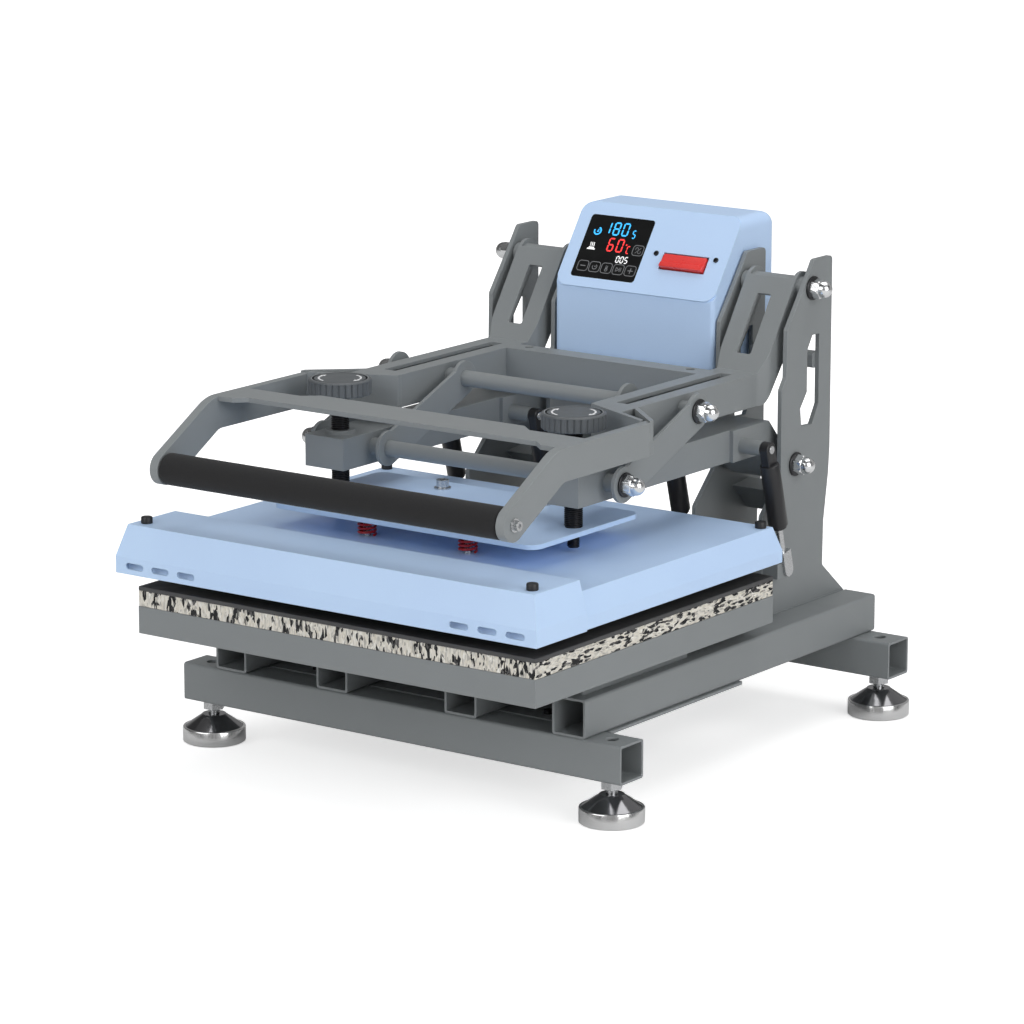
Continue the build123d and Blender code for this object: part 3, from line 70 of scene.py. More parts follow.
# Shader helpers
class Shader:
    """A node material with a few short cuts."""

    def __init__(self, name):
        self.mat = bpy.data.materials.new(name)
        self.mat.use_nodes = True
        self.tree = self.mat.node_tree
        self.bsdf = self.tree.nodes["Principled BSDF"]
        self.coord = self.tree.nodes.new("ShaderNodeTexCoord").outputs["Object"]

    def node(self, kind, **values):
        made = self.tree.nodes.new(kind)
        for key, value in values.items():
            setattr(made, key, value)
        return made

    def link(self, a, b):
        self.tree.links.new(a, b)

    def noise(self, scale, detail=3.0, rough=0.5, stretch=None):
        made = self.node("ShaderNodeTexNoise")
        made.inputs["Scale"].default_value = scale
        made.inputs["Detail"].default_value = detail
        made.inputs["Roughness"].default_value = rough
        source = self.coord
        if stretch:
            mapping = self.node("ShaderNodeMapping")
            mapping.inputs["Scale"].default_value = stretch
            self.link(source, mapping.inputs["Vector"])
            source = mapping.outputs["Vector"]
        self.link(source, made.inputs["Vector"])
        return made.outputs["Fac"]

    def ramp(self, source, stops):
        made = self.node("ShaderNodeValToRGB")
        ramp = made.color_ramp
        while len(ramp.elements) < len(stops):
            ramp.elements.new(0.5)
        for element, (place, colour) in zip(ramp.elements, stops):
            element.position = place
            element.color = (*colour, 1.0)
        self.link(source, made.inputs["Fac"])
        return made.outputs["Color"]

    def remap(self, source, low, high, new_low, new_high):
        made = self.node("ShaderNodeMapRange")
        for key, value in zip(("From Min", "From Max", "To Min", "To Max"), (low, high, new_low, new_high)):
            made.inputs[key].default_value = value
        self.link(source, made.inputs["Value"])
        return made.outputs["Result"]

    def bump(self, source, strength, distance, normal=None):
        made = self.node("ShaderNodeBump")
        made.inputs["Strength"].default_value = strength
        made.inputs["Distance"].default_value = distance
        self.link(source, made.inputs["Height"])
        if normal is not None:
            self.link(normal, made.inputs["Normal"])
        self.link(made.outputs["Normal"], self.bsdf.inputs["Normal"])

    def edges(self, radius):
        made = self.node("ShaderNodeBevel", samples=6)
        made.inputs["Radius"].default_value = radius
        return made.outputs["Normal"]

    def edge_mask(self, normal):
        geometry = self.node("ShaderNodeNewGeometry")
        dot = self.node("ShaderNodeVectorMath", operation="DOT_PRODUCT")
        self.link(normal, dot.inputs[0])
        self.link(geometry.outputs["True Normal"], dot.inputs[1])
        return self.remap(dot.outputs["Value"], 0.995, 0.85, 0.0, 1.0)

    def mix(self, factor, a, b):
        made = self.node("ShaderNodeMix", data_type="RGBA")
        if isinstance(factor, float):
            made.inputs["Factor"].default_value = factor
        else:
            self.link(factor, made.inputs["Factor"])
        for socket, value in ((made.inputs[6], a), (made.inputs[7], b)):
            if isinstance(value, tuple):
                socket.default_value = (*value, 1.0)
            else:
                self.link(value, socket)
        return made.outputs[2]

    def colour_ramp(self, source, *stops):
        self.link(self.ramp(source, stops), self.bsdf.inputs["Base Color"])

    def roughness(self, source, low, high):
        self.link(self.remap(source, 0.3, 0.7, low, high), self.bsdf.inputs["Roughness"])

    def set(self, **values):
        for key, value in values.items():
            self.bsdf.inputs[key.replace("_", " ")].default_value = value


def shade(colour, factor):
    """A colour made darker or lighter, and no brighter than white."""
    return tuple(min(1.0, c * factor) for c in colour)


def powder_coat(name, colour, rough, edge=0.0009, edge_highlight_gain=1.25):
    """Fine orange peel with a faint cloud, and a painted highlight that lightens the colour on the edges.
    """
    s = Shader(name)
    normal = s.edges(edge)
    cloud = s.noise(6.0, 4.0)
    base = s.ramp(cloud, [(0.3, shade(colour, 0.975)), (0.7, shade(colour, 1.02))])
    speck = s.remap(s.noise(2600.0, 1.0), 0.35, 0.65, 0.0, 1.0)
    base = s.mix(speck, base, s.ramp(cloud, [(0.3, shade(colour, 1.02)), (0.7, shade(colour, 1.06))]))
    # Painted highlight: the colour is made lighter on the bevelled edges, where light catches them
    base = s.mix(s.edge_mask(normal), base, shade(colour, edge_highlight_gain))
    s.link(base, s.bsdf.inputs["Base Color"])
    s.roughness(s.noise(35.0, 4.0), rough - 0.04, rough + 0.04)
    s.bump(s.noise(1500.0, 2.0), 0.10, 0.00015, normal)
    return s.mat


def metal(name, colour, rough, stretch=None, edge=0.0003, bump=0.04):
    """Bare or plated metal, with a grain that can be drawn out along one axis."""
    s = Shader(name)
    normal = s.edges(edge)
    s.set(Metallic=1.0)
    grain = s.noise(900.0, 3.0, 0.6, stretch)
    s.colour_ramp(grain, (0.3, shade(colour, 0.94)), (0.7, shade(colour, 1.04)))
    s.roughness(grain, rough * 0.75, rough * 1.25)
    if bump:
        s.bump(grain, bump, 0.0001, normal)
    return s.mat


def plastic(name, colour, rough, grain=1800.0, depth=0.15, edge=0.0004):
    """A moulded or painted surface with a fine grain."""
    s = Shader(name)
    normal = s.edges(edge)
    fine = s.noise(grain, 2.0)
    s.colour_ramp(fine, (0.3, shade(colour, 0.9)), (0.7, shade(colour, 1.1)))
    s.roughness(s.noise(60.0, 3.0), rough - 0.04, rough + 0.05)
    s.bump(fine, depth, 0.0001, normal)
    return s.mat


def printed(name, colour, glow):
    """Flat paint or a lit segment behind the display's glass."""
    s = Shader(name)
    fine = s.noise(2500.0, 1.0)
    s.colour_ramp(fine, (0.3, shade(colour, 0.95)), (0.7, shade(colour, 1.0)))
    s.set(Roughness=0.45)
    if glow:
        s.set(Emission_Color=(*colour, 1.0), Emission_Strength=glow)
    return s.mat


GREY = (0.232, 0.249, 0.256)
BLUE = (0.535, 0.71, 0.985)
grey_coat = powder_coat("grey_powder_coat", GREY, 0.42)
# The same grey coat made lighter for the handle plates and cross plate: painted light, not a paint of its
# own
grey_coat_painted_lighter = powder_coat("grey_powder_coat_painted_lighter", shade(GREY, 1.06), 0.40)
# The blue coat's edges get a smaller painted highlight
blue_coat = powder_coat("blue_powder_coat", BLUE, 0.40, edge_highlight_gain=1.12)
chrome = metal("chrome_plate", (0.88, 0.89, 0.90), 0.2, bump=0.0)
brushed = metal("brushed_foot_rim", (0.80, 0.80, 0.80), 0.20, (1.0, 1.0, 0.02), bump=0.02)
# Chrome with its colour darkened: a painted dark reflection on the feet's cones
chrome_painted_dark = metal("chrome_cone_painted_dark", (0.30, 0.30, 0.31), 0.14, bump=0.0)
turned = metal("turned_steel", (0.62, 0.63, 0.64), 0.24, (1.0, 1.0, 12.0))
zinc = metal("zinc_plate", (0.60, 0.61, 0.62), 0.26)
black_oxide = metal("black_oxide_steel", (0.045, 0.045, 0.048), 0.38)
washer_dark = metal("dark_washer_steel", (0.07, 0.07, 0.073), 0.34)
black_plastic = plastic("black_moulding", (0.016, 0.016, 0.018), 0.42)
gas_black = plastic("black_cylinder_paint", (0.018, 0.018, 0.020), 0.34, 900.0, 0.05)
knob_grey = plastic("grey_knob_moulding", (0.105, 0.115, 0.123), 0.46)
red_plastic = plastic("red_switch_moulding", (0.80, 0.055, 0.05), 0.30, 1400.0, 0.05)
red_enamel = plastic("red_spring_enamel", (0.46, 0.012, 0.016), 0.30, 800.0, 0.08, 0.0002)
screen_glass = plastic("black_display_glass", (0.0045, 0.0047, 0.0050), 0.30, 500.0, 0.0)
circuit_green = plastic("green_circuit_laminate", (0.02, 0.14, 0.06), 0.4)
wool = plastic("ceramic_blanket", (0.62, 0.60, 0.52), 0.95, 500.0, 0.6)
white_print = printed("white_print", (0.85, 0.86, 0.87), 0.0)
lit_blue = printed("lit_blue_segment", (0.045, 0.46, 0.92), 0.75)
lit_red = printed("lit_red_segment", (0.95, 0.045, 0.045), 0.70)
lit_white = printed("lit_white_segment", (0.85, 0.85, 0.85), 0.55)
key_line = printed("grey_key_outline", (0.13, 0.133, 0.138), 0.7)
ring_grey = printed("grey_knob_ring", (0.27, 0.285, 0.295), 0.0)


def foam_material():
    s = Shader("black_foam")
    cells = s.noise(1600.0, 3.0, 0.7)
    s.colour_ramp(cells, (0.3, (0.008, 0.008, 0.009)), (0.7, (0.016, 0.016, 0.017)))
    s.set(Roughness=0.85, Sheen_Weight=0.06, Sheen_Roughness=0.5)
    s.bump(cells, 0.35, 0.0002)
    return s.mat


def silicone_material():
    s = Shader("grey_silicone_pad")
    cloud = s.noise(14.0, 4.0)
    s.colour_ramp(cloud, (0.3, (0.062, 0.063, 0.065)), (0.7, (0.080, 0.081, 0.083)))
    s.roughness(s.noise(90.0, 3.0), 0.52, 0.66)
    s.bump(s.noise(1300.0, 2.0), 0.12, 0.0001)
    return s.mat


def sponge_material():
    """Crumbled sponge: cream crumbs with grey and black ones, drawn out along each edge."""
    s = Shader("speckled_sponge")
    geometry = s.node("ShaderNodeNewGeometry")
    split = s.node("ShaderNodeSeparateXYZ")
    s.link(geometry.outputs["True Normal"], split.inputs[0])
    facing = s.node("ShaderNodeMath", operation="ABSOLUTE")
    s.link(split.outputs["X"], facing.inputs[0])
    side = s.remap(facing.outputs[0], 0.45, 0.55, 0.0, 1.0)
    front_map = s.node("ShaderNodeMapping")
    front_map.inputs["Scale"].default_value = (1.0, 1.0, 0.36)
    front_map.inputs["Rotation"].default_value = (0.0, 0.12, 0.0)
    side_map = s.node("ShaderNodeMapping")
    side_map.inputs["Scale"].default_value = (1.0, 0.40, 1.25)
    side_map.inputs["Rotation"].default_value = (0.10, 0.0, 0.0)
    for mapping in (front_map, side_map):
        s.link(s.coord, mapping.inputs["Vector"])
    chosen = s.node("ShaderNodeMix", data_type="VECTOR")
    s.link(side, chosen.inputs["Factor"])
    s.link(front_map.outputs[0], chosen.inputs[4])
    s.link(side_map.outputs[0], chosen.inputs[5])
    wobble = s.node("ShaderNodeTexNoise", noise_dimensions="3D")
    wobble.inputs["Scale"].default_value = 260.0
    s.link(chosen.outputs[1], wobble.inputs["Vector"])
    shifted = s.node("ShaderNodeVectorMath", operation="MULTIPLY_ADD")
    s.link(wobble.outputs["Color"], shifted.inputs[0])
    shifted.inputs[1].default_value = (0.0030, 0.0030, 0.0030)
    s.link(chosen.outputs[1], shifted.inputs[2])

    def crumbs(scale):
        made = s.node("ShaderNodeTexVoronoi")
        made.inputs["Scale"].default_value = scale
        s.link(shifted.outputs[0], made.inputs["Vector"])
        value = s.node("ShaderNodeSeparateColor")
        s.link(made.outputs["Color"], value.inputs[0])
        return value.outputs["Red"], made.outputs["Distance"]

    coarse, depth = crumbs(330.0)
    fine, _ = crumbs(620.0)
    pale = s.ramp(fine, [
        (0.0, (0.66, 0.62, 0.53)), (0.55, (0.80, 0.77, 0.70)),
        (0.80, (0.42, 0.40, 0.36)), (1.0, (0.88, 0.86, 0.80)),
    ])
    dark = s.ramp(fine, [
        (0.0, (0.010, 0.010, 0.011)), (0.7, (0.022, 0.022, 0.024)), (1.0, (0.17, 0.165, 0.16)),
    ])
    patch = s.remap(s.noise(45.0, 2.0), 0.40, 0.62, 0.0, 0.22)
    total = s.node("ShaderNodeMath", operation="ADD")
    s.link(coarse, total.inputs[0])
    s.link(patch, total.inputs[1])
    mask = s.remap(total.outputs[0], 0.79, 0.82, 0.0, 1.0)
    s.link(s.mix(mask, pale, dark), s.bsdf.inputs["Base Color"])
    s.set(Roughness=0.85)
    s.bump(depth, 0.5, 0.0008)
    return s.mat


def heat_face_material():
    s = Shader("dark_coated_platen")
    cloud = s.noise(30.0, 5.0)
    s.colour_ramp(cloud, (0.3, (0.016, 0.016, 0.017)), (0.7, (0.024, 0.024, 0.025)))
    s.roughness(s.noise(400.0, 3.0, 0.6, (1.0, 6.0, 1.0)), 0.30, 0.42)
    s.set(Metallic=0.4)
    return s.mat


foam = foam_material()
silicone = silicone_material()
sponge = sponge_material()
heat_face = heat_face_material()

# The finish of every node that keeps its own mesh, and of those that a finer piece replaces
FINISH = {
    grey_coat: (
        "cross_tubes base_rails deck_plate base_pan platen_standoffs platen_board outer_uprights "
        "inner_uprights "
        "upright_base_plates upright_spacers gas_brackets carrier_arm_left carrier_arm_right torsion_tube "
        "link_plates link_shafts lever_arm_left lever_arm_right lever_beam corner_plates"
    ),
    # Handle plates and cross plate take the grey coat painted lighter
    grey_coat_painted_lighter: "handle_plates cross_plate",
    blue_coat: "control_box control_panel box_rear_cover pressure_plate platen_cover platen_guard",
    chrome: "upright_nuts link_nuts foot_front_left foot_front_right foot_rear_left foot_rear_right",
    zinc: "foot_lock_nuts handle_screws guide_bolts gas_rods",
    turned: "pivot_pins grip_tube",
    washer_dark: "upright_washers link_washers",
    black_oxide: "frame_bolts panel_screws pressure_screw_left pressure_screw_right",
    black_plastic: "power_inlet platen_caps",
    gas_black: "gas_cylinders",
    knob_grey: "pressure_knob_left pressure_knob_right",
    red_plastic: "power_rocker",
    red_enamel: "platen_springs",
    screen_glass: "display_screen",
    circuit_green: "circuit_board",
    wool: "insulation",
    foam: "foam_grip",
    silicone: "silicone_pad",
    sponge: "sponge_layer",
    heat_face: "heat_plate",
}
for material, names in FINISH.items():
    for name in names.split():
        slots = nodes[name].data.materials
        slots.clear()
        slots.append(material)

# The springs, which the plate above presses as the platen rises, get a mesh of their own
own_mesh(nodes["platen_springs"])


# Mesh helpers, in millimetres
def add_piece(name, bm, material, body, smooth=35.0):
    """Makes an object of a mesh, which rides a body and is sharp above an angle in degrees."""
    mesh = bpy.data.meshes.new(name)
    bmesh.ops.scale(bm, vec=(MM, MM, MM), verts=bm.verts)
    bmesh.ops.recalc_face_normals(bm, faces=bm.faces)
    bm.to_mesh(mesh)
    bm.free()
    mesh.materials.append(material)
    mesh.shade_smooth()
    mesh.set_sharp_from_angle(angle=math.radians(smooth))
    piece = bpy.data.objects.new(name, mesh)
    scene.collection.objects.link(piece)
    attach(piece, body)
    return piece


def circle(radius, height, sides):
    """Points of a circle about the local Z."""
    angles = [2 * math.pi * i / sides for i in range(sides)]
    return [(radius * math.cos(a), radius * math.sin(a), height) for a in angles]


def lathe(bm, profile, place, sides=64):
    """Turns (radius, height) points about the local Z of a matrix."""
    rings = []
    for radius, height in profile:
        points = circle(radius, height, sides) if radius > 0 else [(0, 0, height)]
        rings.append([bm.verts.new(place @ Vector(point)) for point in points])
    for low, high in zip(rings, rings[1:]):
        count = max(len(low), len(high))
        for i in range(count):
            j = (i + 1) % count
            corners = [low[i % len(low)], low[j % len(low)], high[j % len(high)], high[i % len(high)]]
            unique = list(dict.fromkeys(corners))
            if len(unique) > 2:
                bm.faces.new(unique)
    for ring, flip in ((rings[0], True), (rings[-1], False)):
        if len(ring) > 2:
            bm.faces.new(list(reversed(ring)) if flip else ring)


def rings_mesh(bm, rings, place):
    """Joins rings of equal count, each a list of (x, y, z)."""
    made = [[bm.verts.new(place @ Vector(p)) for p in ring] for ring in rings]
    for a, b in zip(made, made[1:]):
        for i in range(len(a)):
            j = (i + 1) % len(a)
            bm.faces.new((a[i], a[j], b[j], b[i]))
    bm.faces.new(list(reversed(made[0])))
    bm.faces.new(made[-1])


def shrunk(outline, inset):
    """A closed outline drawn in along the corners' bisectors."""
    points = []
    centre = sum((Vector(p) for p in outline), Vector((0, 0))) / len(outline)
    for i, p in enumerate(outline):
        before, here, after = Vector(outline[i - 1]), Vector(p), Vector(outline[(i + 1) % len(outline)])
        a, b = (here - before).normalized(), (after - here).normalized()
        inward = b - a
        if inward.length < 1e-6:
            inward = Vector((-a.y, a.x))
            if inward.dot(centre - here) < 0:
                inward = -inward
        inward.normalize()
        turn = math.sqrt(max(0.05, (1 + a.dot(b)) / 2))
        points.append(here + inward * inset / turn)
    return points


def prism(bm, outline, low, high, place, inset=0.0):
    """Extrudes a closed outline from low to high, with an optional bevel at the high end."""
    levels = [(outline, low), (outline, high)]
    if inset:
        levels = [(outline, low), (outline, high - inset), (shrunk(outline, inset), high)]
    rings_mesh(bm, [[(p[0], p[1], z) for p in points] for points, z in levels], place)


def toward(origin, direction, up=(0, 0, 1)):
    """A matrix with its local Z along a direction, and its origin at a point."""
    z = Vector(direction).normalized()
    x = Vector(up).cross(z)
    if x.length < 1e-6:
        x = Vector((1, 0, 0))
    x.normalize()
    y = z.cross(x)
    turn = Matrix((x, y, z)).transposed().to_4x4()
    return Matrix.Translation(Vector(origin)) @ turn


def hex_ring(flats, cut, sides=72, spin=0.0):
    """A hexagon's outline as many points, with its corners limited to a radius."""
    points = []
    for i in range(sides):
        a = 2 * math.pi * i / sides
        sector = (a - spin + math.pi / 6) % (math.pi / 3) - math.pi / 6
        reach = min(flats / 2 / math.cos(math.pi / 6 - abs(sector)), cut)
        points.append((reach * math.cos(a), reach * math.sin(a)))
    return points


# Places that repeat the part's, in millimetres, as (y, z) seen from the side
LEVER_PIVOT = (256.0, 464.0)
CARRIER_PIVOT = (227.0, 280.0)
UPPER_LINK = (43.5, 367.0)
LOWER_LINK = (-88.5, 314.0)
GRIP = (-314.3, 318.5)
GAS_EYE, GAS_FOOT = (148.0, 311.3), (184.0, 177.0)
GAS_XS = (209.7, 86.8, -86.8, -209.7)
ARM_X, SCREW_Y = 148.25, -113.0
KNOB_BASE, KNOB_TOP = 371.0, 387.0
SIDES = (("left", -ARM_X), ("right", ARM_X))
FEET = ("front_left", "front_right", "rear_left", "rear_right")
# How far from the middle plane the washers sit, on the uprights and on the links
UPRIGHT_SEAT, LINK_SEAT, WASHER = 193.7, 193.45, 2.5

# Acorn nuts: a chamfered hexagon with a rounded cap
NUT_FLATS, NUT_HEIGHT, NUT_DOME, NUT_LIFT, NUT_SIDES = 19.0, 10.0, 9.2, 1.6, 72


def acorn(bm, place, spin):
    full = NUT_FLATS / math.sqrt(3)
    rings = []
    for z, cut in (
        (0.0, full - 0.9), (0.7, full), (NUT_HEIGHT - 1.6, full), (NUT_HEIGHT - 0.4, NUT_FLATS / 2 + 0.15),
    ):
        rings.append([(x, y, z) for x, y in hex_ring(NUT_FLATS, cut, NUT_SIDES, spin)])
    rings.append(circle(NUT_DOME, NUT_HEIGHT, NUT_SIDES))
    for step in range(12):
        a = math.pi / 2 * step / 12
        height = NUT_HEIGHT + NUT_LIFT + NUT_DOME * math.sin(a)
        rings.append(circle(NUT_DOME * math.cos(a), height, NUT_SIDES))
    rings_mesh(bm, rings, place)


for name, places, seat, body in (
    ("upright_nuts", (LEVER_PIVOT, CARRIER_PIVOT), UPRIGHT_SEAT + WASHER, "frame"),
    ("link_nuts", (UPPER_LINK, LOWER_LINK), LINK_SEAT + WASHER, "links"),
):
    bm = bmesh.new()
    for index, (y, z) in enumerate(places):
        for direction in (-1, 1):
            acorn(bm, toward((direction * seat, y, z), (direction, 0, 0)), 0.2 + 0.35 * index)
    piece = add_piece(name + "_domed", bm, chrome, body, 25.0)
    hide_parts(name)

# Washers with a rounded rim
for name, places, seat, body in (
    ("upright_washers", (LEVER_PIVOT, CARRIER_PIVOT), UPRIGHT_SEAT, "frame"),
    ("link_washers", (UPPER_LINK, LOWER_LINK), LINK_SEAT, "links"),
):
    bm = bmesh.new()
    for y, z in places:
        for direction in (-1, 1):
            profile = [(6.2, 0), (12.2, 0), (12.7, 0.5), (12.7, 2.0), (12.2, WASHER), (6.2, WASHER)]
            lathe(bm, profile, toward((direction * seat, y, z), (direction, 0, 0)))
    piece = add_piece(name + "_rounded", bm, washer_dark, body, 40.0)
    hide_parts(name)


# Pressure screws with a real thread
def thread(bm, place, low, high, radius, depth, pitch, sides=48):
    """A V thread with a flat crest, on a core a little inside its root."""
    turns = (high - low) / pitch
    steps = int(turns * sides)
    profile = ((0.0, radius - depth), (0.32, radius), (0.55, radius), (0.87, radius - depth))
    strips = []
    for part, reach in profile:
        strip = []
        for i in range(steps + 1):
            a = 2 * math.pi * i / sides
            z = low + (high - low - pitch) * i / steps + part * pitch
            strip.append(bm.verts.new(place @ Vector((reach * math.cos(a), reach * math.sin(a), z))))
        strips.append(strip)
    for a, b in zip(strips, strips[1:]):
        for i in range(steps):
            bm.faces.new((a[i], a[i + 1], b[i + 1], b[i]))
    lathe(bm, [(radius - depth * 0.98, low), (radius - depth * 0.98, high)], place, sides)


for side, x in SIDES:
    bm = bmesh.new()
    place = Matrix.Translation((x, SCREW_Y, 0))
    thread(bm, place, 269.5, KNOB_BASE, radius=9.5, depth=0.9, pitch=2.0)
    thread(bm, place, 248.6, 264.4, radius=6.25, depth=0.7, pitch=1.75)
    lathe(bm, [(0, 248.5), (5.0, 248.5), (5.5, 249.2), (5.5, KNOB_BASE)], place)
    lathe(bm, [(5.6, 263.1), (8.5, 263.1), (8.5, 264.3), (5.6, 264.3)], place)
    piece = add_piece(f"pressure_screw_{side}_threaded", bm, black_oxide, f"knob_{side}", 20.0)
    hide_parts(f"pressure_screw_{side}")

# Knobs: narrow flutes, a chamfered rim, a shallow ring and two painted arrows
FLUTES, KNOB_STEPS, ARROW_STEPS = 30, 360, 24
for side, x in SIDES:
    bm = bmesh.new()
    place = Matrix.Translation((x, SCREW_Y, 0))
    rings = []
    for z, radius, depth in (
        (KNOB_BASE, 32.0, 0.9), (371.8, 33.0, 1.3), (384.6, 33.0, 1.3), (385.4, 33.0, 0.0),
        (386.4, 32.4, 0.0), (KNOB_TOP, 31.4, 0.0), (KNOB_TOP, 28.9, 0.0), (386.6, 28.5, 0.0),
        (386.6, 27.3, 0.0), (KNOB_TOP, 26.9, 0.0), (KNOB_TOP, 2.0, 0.0),
    ):
        ring = []
        for i in range(KNOB_STEPS):
            a = 2 * math.pi * i / KNOB_STEPS
            phase = abs(((a * FLUTES / (2 * math.pi)) % 1.0) - 0.5) * 2
            cut = depth * max(0.0, 1 - (phase / 0.30) ** 2)
            ring.append(((radius - cut) * math.cos(a), (radius - cut) * math.sin(a), z))
        rings.append(ring)
    rings_mesh(bm, rings, place)
    piece = add_piece(f"pressure_knob_{side}_fluted", bm, knob_grey, f"knob_{side}", 28.0)
    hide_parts(f"pressure_knob_{side}")
    bm = bmesh.new()
    for start in (0.0, math.pi):
        centre, half = YAW + start, math.radians(40)
        outer, inner = [], []
        for i in range(ARROW_STEPS + 1):
            a = centre + half - (2 * half - math.radians(6)) * i / ARROW_STEPS
            outer.append((22.9 * math.cos(a), 22.9 * math.sin(a)))
            inner.append((20.9 * math.cos(a), 20.9 * math.sin(a)))
        prism(bm, outer + inner[::-1], KNOB_TOP - 0.05, KNOB_TOP + 0.12, place)
        tip = centre - half - math.radians(9)
        root = centre - half + math.radians(8)
        head = [(r * math.cos(a), r * math.sin(a)) for r, a in ((25.2, root), (18.6, root), (21.9, tip))]
        prism(bm, head, KNOB_TOP - 0.05, KNOB_TOP + 0.14, place)
    add_piece(f"pressure_knob_{side}_arrows", bm, white_print, f"knob_{side}")
    bm = bmesh.new()
    low, high = KNOB_TOP - 0.1, KNOB_TOP + 0.1
    lathe(bm, [(28.95, low), (28.95, high), (29.9, high), (29.9, low), (28.95, low)], place, 96)
    add_piece(f"pressure_knob_{side}_ring", bm, ring_grey, f"knob_{side}")


# Gas cylinders: rounded eye, tube with a collar, and the eye's bolt on the side away from its arm
GAS_NECK, TUBE_LENGTH, EYE_RADIUS, EYE_HALF, EYE_BEVEL, EYE_STEPS = 17.0, 74.0, 8.0, 5.15, 0.8, 12
gas_line = Vector((0, GAS_EYE[0] - GAS_FOOT[0], GAS_EYE[1] - GAS_FOOT[1]))
tube_top = gas_line.length - GAS_NECK
tube_end = tube_top - TUBE_LENGTH
tube_profile = [
    (4.05, tube_end), (8.0, tube_end), (8.8, tube_end + 0.8), (8.8, tube_end + 3), (10.0, tube_end + 3.4),
    (10.4, tube_end + 4), (10.4, tube_top - 1.6), (10, tube_top - 0.5), (9.2, tube_top), (0, tube_top),
]
eye_outline = [(-EYE_RADIUS, tube_top - 0.5), (EYE_RADIUS, tube_top - 0.5)]
for i in range(EYE_STEPS + 1):
    a = math.pi * i / EYE_STEPS
    eye_outline.append((EYE_RADIUS * math.cos(a), gas_line.length + EYE_RADIUS * math.sin(a)))
along = gas_line.normalized()
bm, bolts = bmesh.new(), bmesh.new()
for x in GAS_XS:
    lathe(bm, tube_profile, toward((x, *GAS_FOOT), gas_line, (1, 0, 0)), 48)
    # The eye's outline lies in the plane that the spring swings in
    eye = Matrix((Vector((0, along.z, -along.y)), along, Vector((1, 0, 0)))).transposed().to_4x4()
    eye.translation = Vector((x, *GAS_FOOT))
    prism(bm, eye_outline, EYE_BEVEL - EYE_HALF, EYE_HALF, eye, EYE_BEVEL)
    back = eye @ Matrix.Scale(-1, 4, (0, 0, 1))
    prism(bm, eye_outline, EYE_HALF - EYE_BEVEL, EYE_HALF, back, EYE_BEVEL)
    away = 1 if (x > 0) == (abs(x) > ARM_X) else -1
    lathe(bolts, [(2.6, 5.1), (4.3, 5.1), (4.3, 5.9), (3.9, 6.2), (2.6, 6.2)],
          toward((x, *GAS_EYE), (away, 0, 0)), 32)
piece = add_piece("gas_cylinders_turned", bm, gas_black, "gas_cylinders", 35.0)
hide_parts("gas_cylinders")
add_piece("gas_eye_bolts", bolts, zinc, "gas_cylinders", 35.0)

# Caps on the guard and the cover
cap_profile = [(5.4, 0), (6.0, 0.4), (6.0, 5.8), (5.4, 6.8), (4.4, 7.0), (0, 7.0)]
bm = bmesh.new()
for cx, cy, cz in ((-242, -313, 257.5), (242, -313, 257.5), (-242, 87, 243.5), (242, 87, 243.5)):
    lathe(bm, cap_profile, Matrix.Translation((cx, cy, cz)), 40)
piece = add_piece("platen_caps_rounded", bm, black_plastic, "platen", 40.0)
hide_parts("platen_caps")

# Feet: a brushed rim, a polished cone whose colour is darkened as a painted dark reflection, and a threaded
# stud
rim_profile = [(0, 0.3), (31.8, 0.3), (33, 1.2), (33, 15.4), (32.6, 16.2), (31.6, 16.5), (0, 16.5)]
for name in FEET:
    low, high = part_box("foot_" + name)
    centre = Matrix.Translation(((low.x + high.x) / 2 / MM, (low.y + high.y) / 2 / MM, 0))
    bm = bmesh.new()
    lathe(bm, rim_profile, centre, 96)
    piece = add_piece(f"foot_{name}_rim", bm, brushed, "foot_" + name, 30.0)
    bm = bmesh.new()
    lathe(bm, [(30.6, 16.4), (13.2, 28.6), (12.5, 29.4), (6.0, 29.5), (6.0, 16.4)], centre, 96)
    add_piece(f"foot_{name}_cone", bm, chrome_painted_dark, "foot_" + name, 30.0)
    bm = bmesh.new()
    thread(bm, centre, 29.4, 60.0, radius=6.0, depth=0.7, pitch=1.75, sides=32)
    add_piece(f"foot_{name}_stud", bm, zinc, "foot_" + name, 20.0)
    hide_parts("foot_" + name)


# Soft layers: sponge, silicone pad and foam grip
def soft_block(name, node, material, radius, waver):
    """A slab with rounded edges, whose sides waver by a share of a millimetre."""
    low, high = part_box(node)
    low, high = low / MM, high / MM
    bm = bmesh.new()
    bmesh.ops.create_cube(bm, size=1.0)
    for v in bm.verts:
        v.co = Vector((low[i] if v.co[i] < 0 else high[i] for i in range(3)))
    bmesh.ops.bevel(bm, geom=list(bm.edges), offset=radius, segments=3, affect="EDGES", profile=0.6)
    long_edges = [e for e in bm.edges if e.calc_length() > 100]
    bmesh.ops.subdivide_edges(bm, edges=long_edges, cuts=60, use_grid_fill=True)
    for v in bm.verts:
        edge_x = min(v.co.x - low.x, high.x - v.co.x)
        edge_y = min(v.co.y - low.y, high.y - v.co.y)
        if min(edge_x, edge_y) < radius * 1.5:
            wave = math.sin(v.co.x * 0.11 + 0.3) * math.sin(v.co.y * 0.09 + 1.1)
            wave += 0.5 * math.sin((v.co.x + v.co.y) * 0.31)
            pull = waver * (0.5 + 0.33 * wave)
            if edge_x < edge_y:
                v.co.x += pull if v.co.x < 0 else -pull
            else:
                v.co.y += pull if v.co.y < (low.y + high.y) / 2 else -pull
    piece = add_piece(name, bm, material, "frame", 50.0)
    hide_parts(node)


soft_block("sponge_pad", "sponge_layer", sponge, 0.9, 0.7)
soft_block("silicone_sheet", "silicone_pad", silicone, 0.8, 0.25)

